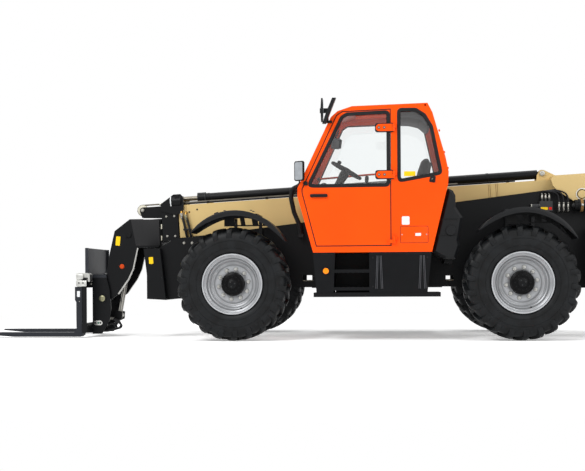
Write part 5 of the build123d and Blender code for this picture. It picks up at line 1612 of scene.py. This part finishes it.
def head_fittings():
    """Blank labels, plug, edge flanges, pins, bolts and covers on the boom's head, and the sheave's hub."""
    parts = []
    for side in SIDES:
        out = (0, side, 0)
        face = side * NECK_HALF
        parts += [
            film("neck_label", at(-1.502, face, 1.134), out, (0.1, 0, 1), 0.052, 0.108, "label"),
            turned(
                "plug", [(0, 0.028), (0.006, 0.028), (0.011, 0.023), (0.012, 0.0)], at(-1.455, face, 0.832),
                out, "plug", 36
            ),
            # Painted highlight: pale metal strips along the neck's rear edge and its inner flange stand for
            # the light caught by that edge
            ribbon("rear_flange_highlight", NECK_REAR, face, side * FLANGE_INNER, -0.004, "worn_and_highlight"),
            ribbon("rear_edge_highlight", NECK_REAR, face - side * 0.001, face + side * 0.0015, 0.009, "worn_and_highlight"),
            ribbon("front_flange", NECK_FRONT, face, side * FLANGE_INNER, -0.003, "charcoal_steel"),
            turned(
                "tilt_pin", [(0, 0.03), (0.01, 0.03), (0.014, 0.026), (0.014, 0.0)], at(-1.37, face, 1.2),
                out, "black", 32
            ),
        ]
        parts += bolt_row("pin_bolt", [(-1.34, face, 1.225), (-1.4, face, 1.175)], out, 0.012, 0.006, "black")
        cover = softened(((-1.346, 1.386), (-1.005, 1.386), (-0.998, 1.075), (-1.285, 1.075)), 0.012)
        parts.append(
            prism(
                "head_cover", [(x + 1.17, z - 1.23) for x, z in cover], 0, 0.003,
                on_side(at(-1.17, face, 1.23), side), "charcoal_steel", 0.001
            )
        )
    fit("head_fittings", parts, "boom_fly")
    hub = middle("extension_sheave")
    disc = turned(
        "hub_disc", [(0, 0.031), (0.005, 0.031), (0.006, 0.029), (0.006, 0.0)],
        Vector((hub.x, -0.1305, hub.z)), LEFT, "black", 32
    )
    bolt = hex_bolt("hub_bolt", Vector((hub.x, -0.1365, hub.z)), LEFT, 0.03, 0.012)
    rim = turned(
        "sheave_rim", [(0, 0.034), (0, 0.0625), (0.0016, 0.0622), (0.0016, 0.034)],
        Vector((hub.x, -0.1141, hub.z)), LEFT, "nylon", 48, closed=True
    )
    fit("sheave_hub", [disc, bolt, rim], "boom_section_3")


def on_side(center, side):
    """A matrix for a side view's outline: X stays the station, Y the height, Z outward."""
    across, up, out = Vector((1, 0, 0)), Vector((0, 0, 1)), Vector((0, side, 0))
    return Matrix.Translation(center) @ Matrix((across, up, out)).transposed().to_4x4()


def carriage_fittings():
    """Pin caps, hook plates, blank tags, bolts and hose loops on the fork carriage."""
    parts = []
    for side in SIDES:
        out = (0, side, 0)
        parts += [
            turned(
                "pin_end",
                [(0, 0.036), (0.005, 0.036), (0.009, 0.031), (0.01, 0.016), (0.007, 0.014), (0.007, 0.0)],
                at(-1.68, side * 0.291, 0.455), out, "brass_grey", 36
            ),
            film("fork_label", at(-1.903, side * 0.5, 0.512), out, UP, 0.034, 0.068, "white"),
            turned(
                "fork_rivet", [(0, 0.006), (0.003, 0.005), (0.004, 0.0)], at(-1.893, side * 0.5, 0.425), out,
                "zinc", 12
            ),
        ]
        tag = softened(
            (
                (-0.058, -0.012), (-0.03, -0.028), (0.042, -0.026), (0.06, 0.0), (0.038, 0.027),
                (-0.044, 0.024)
            ),
            0.018
        )
        parts.append(prism(
            "eye_tag", tag, 0, 0.005, on_side(at(-1.735, side * 0.275, 0.166), side), "silver", 0.001
        ))
        for dx, finish in ((-0.03, "seal"), (0.006, "green"), (0.03, "seal")):
            parts.append(turned(
                "tag_hole", [(0.005, 0.011), (0.0062, 0.01)], at(-1.735 + dx, side * 0.275, 0.166), out,
                finish, 20
            ))
        for x, z, wide, tall in ((-1.882, 0.714, 0.082, 0.056), (-1.862, 0.634, 0.124, 0.066)):
            parts.append(prism(
                "hook_plate", rounded(wide, tall, 0.006), -0.002, 0.033, side_face(x, 0.4905, z, side),
                "silver", 0.002
            ))
        for x, z in ((-1.842, 0.64), (-1.89, 0.64)):
            parts.append(turned(
                "hook_hole", [(0.032, 0.009), (0.0336, 0.009)], at(x, side * 0.4905, z), out, "seal", 20
            ))
        bar = [(-1.8, side * 0.33, z) for z in (0.625, 0.66)]
        parts += bolt_row("bar_bolt", bar, REAR, 0.019, 0.009)
    for k, y in enumerate((-0.135, -0.16, -0.185)):
        grow = 0.012 * k
        parts += [
            tube(
                "carriage_hose",
                [
                    at(-1.66, y, 0.205),
                    at(-1.585, y, 0.215),
                    at(-1.525 - grow, y, 0.19),
                    at(-1.49 + grow, y, 0.14),
                    at(-1.51 + grow, y, 0.098),
                    at(-1.6, y, 0.085),
                    at(-1.69, y, 0.09),
                ],
                0.0115, "hose"
            ),
            ferrule("carriage_hose_end", at(-1.625, y, 0.212), (-0.98, 0, -0.05), 0.0115, "zinc"),
        ]
    fit("carriage_fittings", parts, "carriage")


# ------------------------------------------------------------------ chassis, wings, mirrors and lamps
def chassis_fittings():
    """Bolts, blank labels, hose ends, coil rings and canister bands on the chassis."""
    parts = []
    for side in SIDES:
        out = (0, side, 0)
        front = [(x, side * 0.34, z) for x, z in ((-0.687, 1.1), (-0.592, 1.099))]
        parts += bolt_row("chassis_bolt", front, out, 0.022, 0.011)
        parts.append(film(
            "nose_label", at(-1.055, side * 0.45, 0.896), out, (-0.08, 0, 1), 0.05, 0.078, "label"
        ))
        for x in (-0.09, 0.2):
            for y in (0.9, 1.1):
                parts.append(turned(
                    "stay_bolt", [(0, 0.014), (0.004, 0.014), (0.008, 0.01), (0.008, 0.0)],
                    at(x, side * y, 1.4185), UP, "plastic", 20
                ))
        weight = [(4.2, side * 0.3, z) for z in (0.62, 0.74, 0.86, 0.98, 1.1)]
        parts += bolt_row("weight_bolt", weight, REAR, 0.03, 0.014, "black")
    for k, x in enumerate((3.42, 3.46, 3.5)):
        top = at(x, -0.388, 1.562)
        parts.append(ferrule("port_end", top + Vector((0, 0, 0.006)), (0, 0, -1), 0.01))
        land = 3.6 + k * 0.05
        parts += [
            tube(
                "port_hose",
                [
                    top + Vector((0, 0, 0.04)), top + Vector((0.004, -0.01, 0.085)),
                    at(x + 0.05, -0.436, 1.64 + 0.008 * k), at(land - 0.03, -0.446, 1.625),
                    at(land, -0.446, 1.56), at(land, -0.446, 1.47)
                ],
                0.01, "hose"
            ),
            ferrule("land_end", at(land, -0.446, 1.462), (0, 0, -1), 0.01),
            tube(
                "land_elbow",
                [
                    at(land, -0.446, 1.455),
                    at(land, -0.446, 1.424),
                    at(land, -0.428, 1.414),
                    at(land, -0.338, 1.414),
                ],
                0.011, "zinc"
            ),
        ]
    parts += [
        film("valve_tag", at(3.437, -0.436, 1.447), LEFT, UP, 0.076, 0.03, "label"),
        film("valve_tag_small", at(3.504, -0.436, 1.447), LEFT, UP, 0.034, 0.03, "red"),
    ]
    for x in (3.3, 3.392):
        parts.append(turned(
            "coil_ring", band(0.004, 0.024, 0.029), at(x, -0.39, 1.475), REAR, "zinc", 32, closed=True
        ))
    for x in (3.835, 4.075):
        parts += [
            turned("band", band(0.014, 0.0705, 0.0728), at(x, -0.49, 1.475), REAR, "strap", 48, closed=True),
            prism(
                "band_lug", rounded(0.028, 0.026, 0.006), -0.012, 0.012,
                on_face(at(x, -0.562, 1.475), REAR, UP), "zinc", 0.002
            ),
        ]
    for x, out in ((3.757, FRONT), (4.153, REAR)):
        parts.append(turned(
            "canister_plug", [(0, 0.03), (0.008, 0.029), (0.01, 0.016), (0.022, 0.016), (0.024, 0.0)],
            at(x, -0.49, 1.475), out, "iron", 24
        ))
    fit("chassis_fittings", parts, "chassis")


FENDER_MIDDLE = (0.03, 0.806)
FENDER_EDGE_R = 0.612
FENDER_ARC = (29, 140)


def fender_lips(axle):
    """Rolled side lips on an axle's two wings, deep over the wheel and fading at both ends."""
    wheel_x = middle(axle).x - AXLE_X
    # Columns: share of the lip's depth, share of the way inboard
    section = (
        (-0.03, 0), (0.1, -0.1), (0.55, -0.16), (0.92, -0.08), (1.0, 0.2), (0.9, 0.42), (0.3, 0.4),
        (0.1, 1.0), (-0.03, 1.0)
    )
    parts = []
    steps = 40
    for side in SIDES:
        for y_out, y_in in ((1.1925, 1.172), (0.8275, 0.846)):
            verts = []
            for k in range(steps + 1):
                t = k / steps
                a = radians(FENDER_ARC[0] + (FENDER_ARC[1] - FENDER_ARC[0]) * t)
                deep = 0.014 + 0.044 * (1 - (2 * t - 1) ** 4)
                for drop, inward in section:
                    r = FENDER_EDGE_R - deep * drop
                    y = y_out + (y_in - y_out) * inward
                    verts.append(at(
                        wheel_x + FENDER_MIDDLE[0] + r * cos(a), side * y, FENDER_MIDDLE[1] + r * sin(a)
                    ))
            shape = (steps + 1, len(section))
            lip = mesh_object("lip", verts, net(*shape) + ends(*shape), "plastic")
            smooth_by_angle(lip, 50)
            parts.append(lip)
    name = "front" if wheel_x < 1 else "rear"
    fit(f"fender_lips_{name}", parts, "chassis")


def locker_ribs():
    """Rounded ridges along the locker doors' pressed ribs, a lighter grey as painted highlights on their
    edges, and their seams and bolts.
    """
    parts = []
    for x, lean in ((1.548, 0.014), (1.608, -0.014), (2.008, 0.014), (2.068, -0.014)):
        for foot, head in ((x, x + 0.002 + lean), (x + 0.016, x + 0.014 + lean)):
            parts.append(tube(
                "rib_highlight",
                [
                    at(foot, CAB_LEFT - 0.0062, 0.562),
                    at((foot + head) / 2, CAB_LEFT - 0.0075, 0.74),
                    at(head, CAB_LEFT - 0.0062, 0.918),
                ],
                0.0034, "rib_highlight"
            ))
    for x0, x1 in ((0.9, 1.09), (1.49, 2.13)):
        parts.append(tube(
            "seam", [at(x0, CAB_LEFT - 0.0005, 0.936), at(x1, CAB_LEFT - 0.0005, 0.936)], 0.0022, "seal", 10,
            2
        ))
    corners = [(x, CAB_LEFT, z) for x in (1.52, 2.1) for z in (0.585, 0.895)]
    parts += bolt_row("door_bolt", corners, LEFT, 0.016, 0.007, "seal")
    fit("locker_ribs", parts, "chassis")


def conduit_rings():
    """Corrugations along the upright hose bundle in front of the cab."""
    stops = [
        Vector((0.688, 1.186)), Vector((0.668, 1.3)), Vector((0.61, 1.44)), Vector((0.577, 1.6)),
        Vector((0.59, 1.705))
    ]
    parts = []
    for a, b in zip(stops, stops[1:]):
        run = (b - a).normalized()
        count = max(3, int((b - a).length / 0.013))
        for k in range(count):
            p = a.lerp(b, (k + 0.5) / count)
            parts.append(turned(
                "ring", [(-0.004, 0.0245), (-0.0025, 0.0285), (0.0025, 0.0285), (0.004, 0.0245)],
                at(p.x, -0.401, p.y), (run.x, 0, run.y), "hose", 24, closed=True
            ))
    fit("conduit_rings", parts, "chassis")


def mirror_faces():
    """Silvered glass in the mirror heads, and a clamp on the lower arm."""
    parts = [prism(
        "upper_glass", rounded(0.05, 0.232, 0.01), 0, 0.0015, on_face(at(1.0022, -1.23, 2.475), REAR, UP),
        "mirror"
    )]
    turn = radians(58)
    normal = Vector((cos(turn), sin(turn), 0))
    low = at(0.738, -1.196, 1.832)
    for sign in (-1, 1):
        parts.append(prism(
            "lower_glass", rounded(0.1, 0.19, 0.016), 0, 0.0015,
            on_face(low + normal * (sign * 0.0122), normal * sign, UP), "mirror"
        ))
    parts.append(turned(
        "clamp", [(-0.022, 0.02), (-0.02, 0.024), (0.02, 0.024), (0.022, 0.02)], at(0.8, -1.15, 1.7), UP,
        "plastic", 24
    ))
    fit("mirror_faces", parts, "chassis")


def lamp_lenses():
    """Domed lenses with rings on the rear lamps and the side marker."""
    low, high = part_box("lamps")
    dome = [(0, 1.0), (0.1, 0.98), (0.24, 0.86), (0.34, 0.62), (0.4, 0.3), (0.42, 0.0)]
    for side in SIDES:
        for y, finish in ((0.76, "red"), (0.65, "amber")):
            foot = at(0, side * y, 1.12)
            foot.x = high.x
            lens_piece = turned("lens", [(d * 0.03, r * 0.041) for d, r in dome], foot, REAR, finish, 36)
            ring = turned(
                "ring", [(-0.004, 0.041), (-0.004, 0.0465), (0.005, 0.046), (0.005, 0.041)], foot, REAR,
                "plastic", 36, closed=True
            )
            parts = [lens_piece, ring]
            fit(f"rear_lens_{'left' if side < 0 else 'right'}_{finish}", parts, "chassis")
    foot = at(1.015, 0, 0.756)
    foot.y = low.y
    marker = turned("marker", [(d * 0.012, r * 0.032) for d, r in dome], foot, LEFT, "amber", 36)
    ring = turned(
        "marker_ring", [(-0.003, 0.032), (-0.003, 0.037), (0.003, 0.036), (0.003, 0.032)], foot, LEFT,
        "plastic", 36, closed=True
    )
    fit("side_marker", [marker, ring], "chassis")


# ------------------------------------------------------------------ operators
def settings():
    """The user's sizes and colours."""
    return bpy.context.scene.telehandler_sizes


class TelehandlerSizes(bpy.types.PropertyGroup):
    """Sizes and colours a user would change."""

    cab_colour: FloatVectorProperty(
        name="Cab colour", description="Enamel on the cab", subtype="COLOR", size=3, min=0.0, max=1.0,
        default=linear("#F24C00")
    )
    boom_colour: FloatVectorProperty(
        name="Boom colour", description="Enamel on the boom", subtype="COLOR", size=3, min=0.0, max=1.0,
        default=linear("#D0B57B")
    )
    wheel_colour: FloatVectorProperty(
        name="Wheel colour", description="Enamel on the wheel discs", subtype="COLOR", size=3, min=0.0,
        max=1.0, default=linear("#B0B2B5")
    )
    wheel_nut_across: FloatProperty(
        name="Wheel nut size", description="Width across a wheel nut's flats", default=0.031, unit="LENGTH"
    )


class TELEHANDLER_OT_finishes(bpy.types.Operator):
    """Makes the finishes and puts them on the frame's pieces."""

    bl_idname = "telehandler.finishes"
    bl_label = "Finishes"

    def execute(self, context):
        make_materials()
        dress_nodes()
        return {"FINISHED"}


class TELEHANDLER_OT_stage(bpy.types.Operator):
    """Lays the floor and sets the lamps and the camera."""

    bl_idname = "telehandler.stage"
    bl_label = "Stage"

    def execute(self, context):
        make_stage()
        return {"FINISHED"}


class TELEHANDLER_OT_tyres(bpy.types.Operator):
    """Builds the four lugged tyres."""

    bl_idname = "telehandler.tyres"
    bl_label = "Tyres"

    def execute(self, context):
        for corner in CORNERS:
            tyre_mesh(corner)
        return {"FINISHED"}


class TELEHANDLER_OT_rims(bpy.types.Operator):
    """Builds the four rims with their nuts and valves."""

    bl_idname = "telehandler.rims"
    bl_label = "Rims"

    def execute(self, context):
        for corner in CORNERS:
            rim_mesh(corner)
            wheel_fittings(corner)
        return {"FINISHED"}


class TELEHANDLER_OT_cab(bpy.types.Operator):
    """Fits the glazing strips, wiper, hinges, lock and labels."""

    bl_idname = "telehandler.cab"
    bl_label = "Cab"

    def execute(self, context):
        cab_seals()
        door_seam()
        wiper()
        hinge_details()
        cab_details()
        return {"FINISHED"}


class TELEHANDLER_OT_interior(bpy.types.Operator):
    """Fits the lining, console, levers, screen and steering wheel."""

    bl_idname = "telehandler.interior"
    bl_label = "Interior"

    def execute(self, context):
        interior()
        steering_wheel()
        return {"FINISHED"}


class TELEHANDLER_OT_seat(bpy.types.Operator):
    """Blows up the seat's two pads, presses their channels and adds the shell and belt."""

    bl_idname = "telehandler.seat"
    bl_label = "Seat"

    def execute(self, context):
        seat_pads()
        return {"FINISHED"}


class TELEHANDLER_OT_boom(bpy.types.Operator):
    """Fits the collar, hoses, head and sheave details."""

    bl_idname = "telehandler.boom"
    bl_label = "Boom"

    def execute(self, context):
        collar_fittings()
        boom_hoses()
        head_fittings()
        return {"FINISHED"}


class TELEHANDLER_OT_carriage(bpy.types.Operator):
    """Fits the fork carriage's pins, tags, bolts and hoses."""

    bl_idname = "telehandler.carriage"
    bl_label = "Carriage"

    def execute(self, context):
        carriage_fittings()
        return {"FINISHED"}


class TELEHANDLER_OT_chassis(bpy.types.Operator):
    """Fits the chassis bolts, hoses, canister bands, conduit rings, wing lips and locker ribs."""

    bl_idname = "telehandler.chassis"
    bl_label = "Chassis"

    def execute(self, context):
        chassis_fittings()
        conduit_rings()
        for axle in ("front_axle", "rear_axle"):
            fender_lips(axle)
        locker_ribs()
        return {"FINISHED"}


class TELEHANDLER_OT_mirrors(bpy.types.Operator):
    """Sets the mirror glass in its heads."""

    bl_idname = "telehandler.mirrors"
    bl_label = "Mirrors"

    def execute(self, context):
        mirror_faces()
        return {"FINISHED"}


class TELEHANDLER_OT_lamps(bpy.types.Operator):
    """Fits the lamp lenses."""

    bl_idname = "telehandler.lamps"
    bl_label = "Lamps"

    def execute(self, context):
        lamp_lenses()
        return {"FINISHED"}


class TELEHANDLER_PT_panel(bpy.types.Panel):
    """Lists the machine's operators."""

    bl_label = "Telehandler"
    bl_idname = "TELEHANDLER_PT_panel"
    bl_space_type = "VIEW_3D"
    bl_region_type = "UI"
    bl_category = "Telehandler"

    def draw(self, context):
        for operator in OPERATORS:
            self.layout.operator(operator.bl_idname)


OPERATORS = (
    TELEHANDLER_OT_finishes, TELEHANDLER_OT_stage, TELEHANDLER_OT_tyres, TELEHANDLER_OT_rims,
    TELEHANDLER_OT_cab, TELEHANDLER_OT_interior, TELEHANDLER_OT_seat, TELEHANDLER_OT_boom,
    TELEHANDLER_OT_carriage, TELEHANDLER_OT_chassis, TELEHANDLER_OT_mirrors, TELEHANDLER_OT_lamps
)
CLASSES = (TelehandlerSizes, *OPERATORS, TELEHANDLER_PT_panel)


def register():
    """Adds the classes and the scene's settings."""
    for cls in CLASSES:
        bpy.utils.register_class(cls)
    bpy.types.Scene.telehandler_sizes = PointerProperty(type=TelehandlerSizes)


def unregister():
    """Takes the classes and the settings away."""
    del bpy.types.Scene.telehandler_sizes
    for cls in reversed(CLASSES):
        bpy.utils.unregister_class(cls)


def main():
    """Builds everything through the operators."""
    register()
    bpy.ops.telehandler.finishes()
    bpy.ops.telehandler.stage()
    bpy.ops.telehandler.tyres()
    bpy.ops.telehandler.rims()
    bpy.ops.telehandler.cab()
    bpy.ops.telehandler.interior()
    bpy.ops.telehandler.seat()
    bpy.ops.telehandler.boom()
    bpy.ops.telehandler.carriage()
    bpy.ops.telehandler.chassis()
    bpy.ops.telehandler.mirrors()
    bpy.ops.telehandler.lamps()


if __name__ == "__main__":
    main()
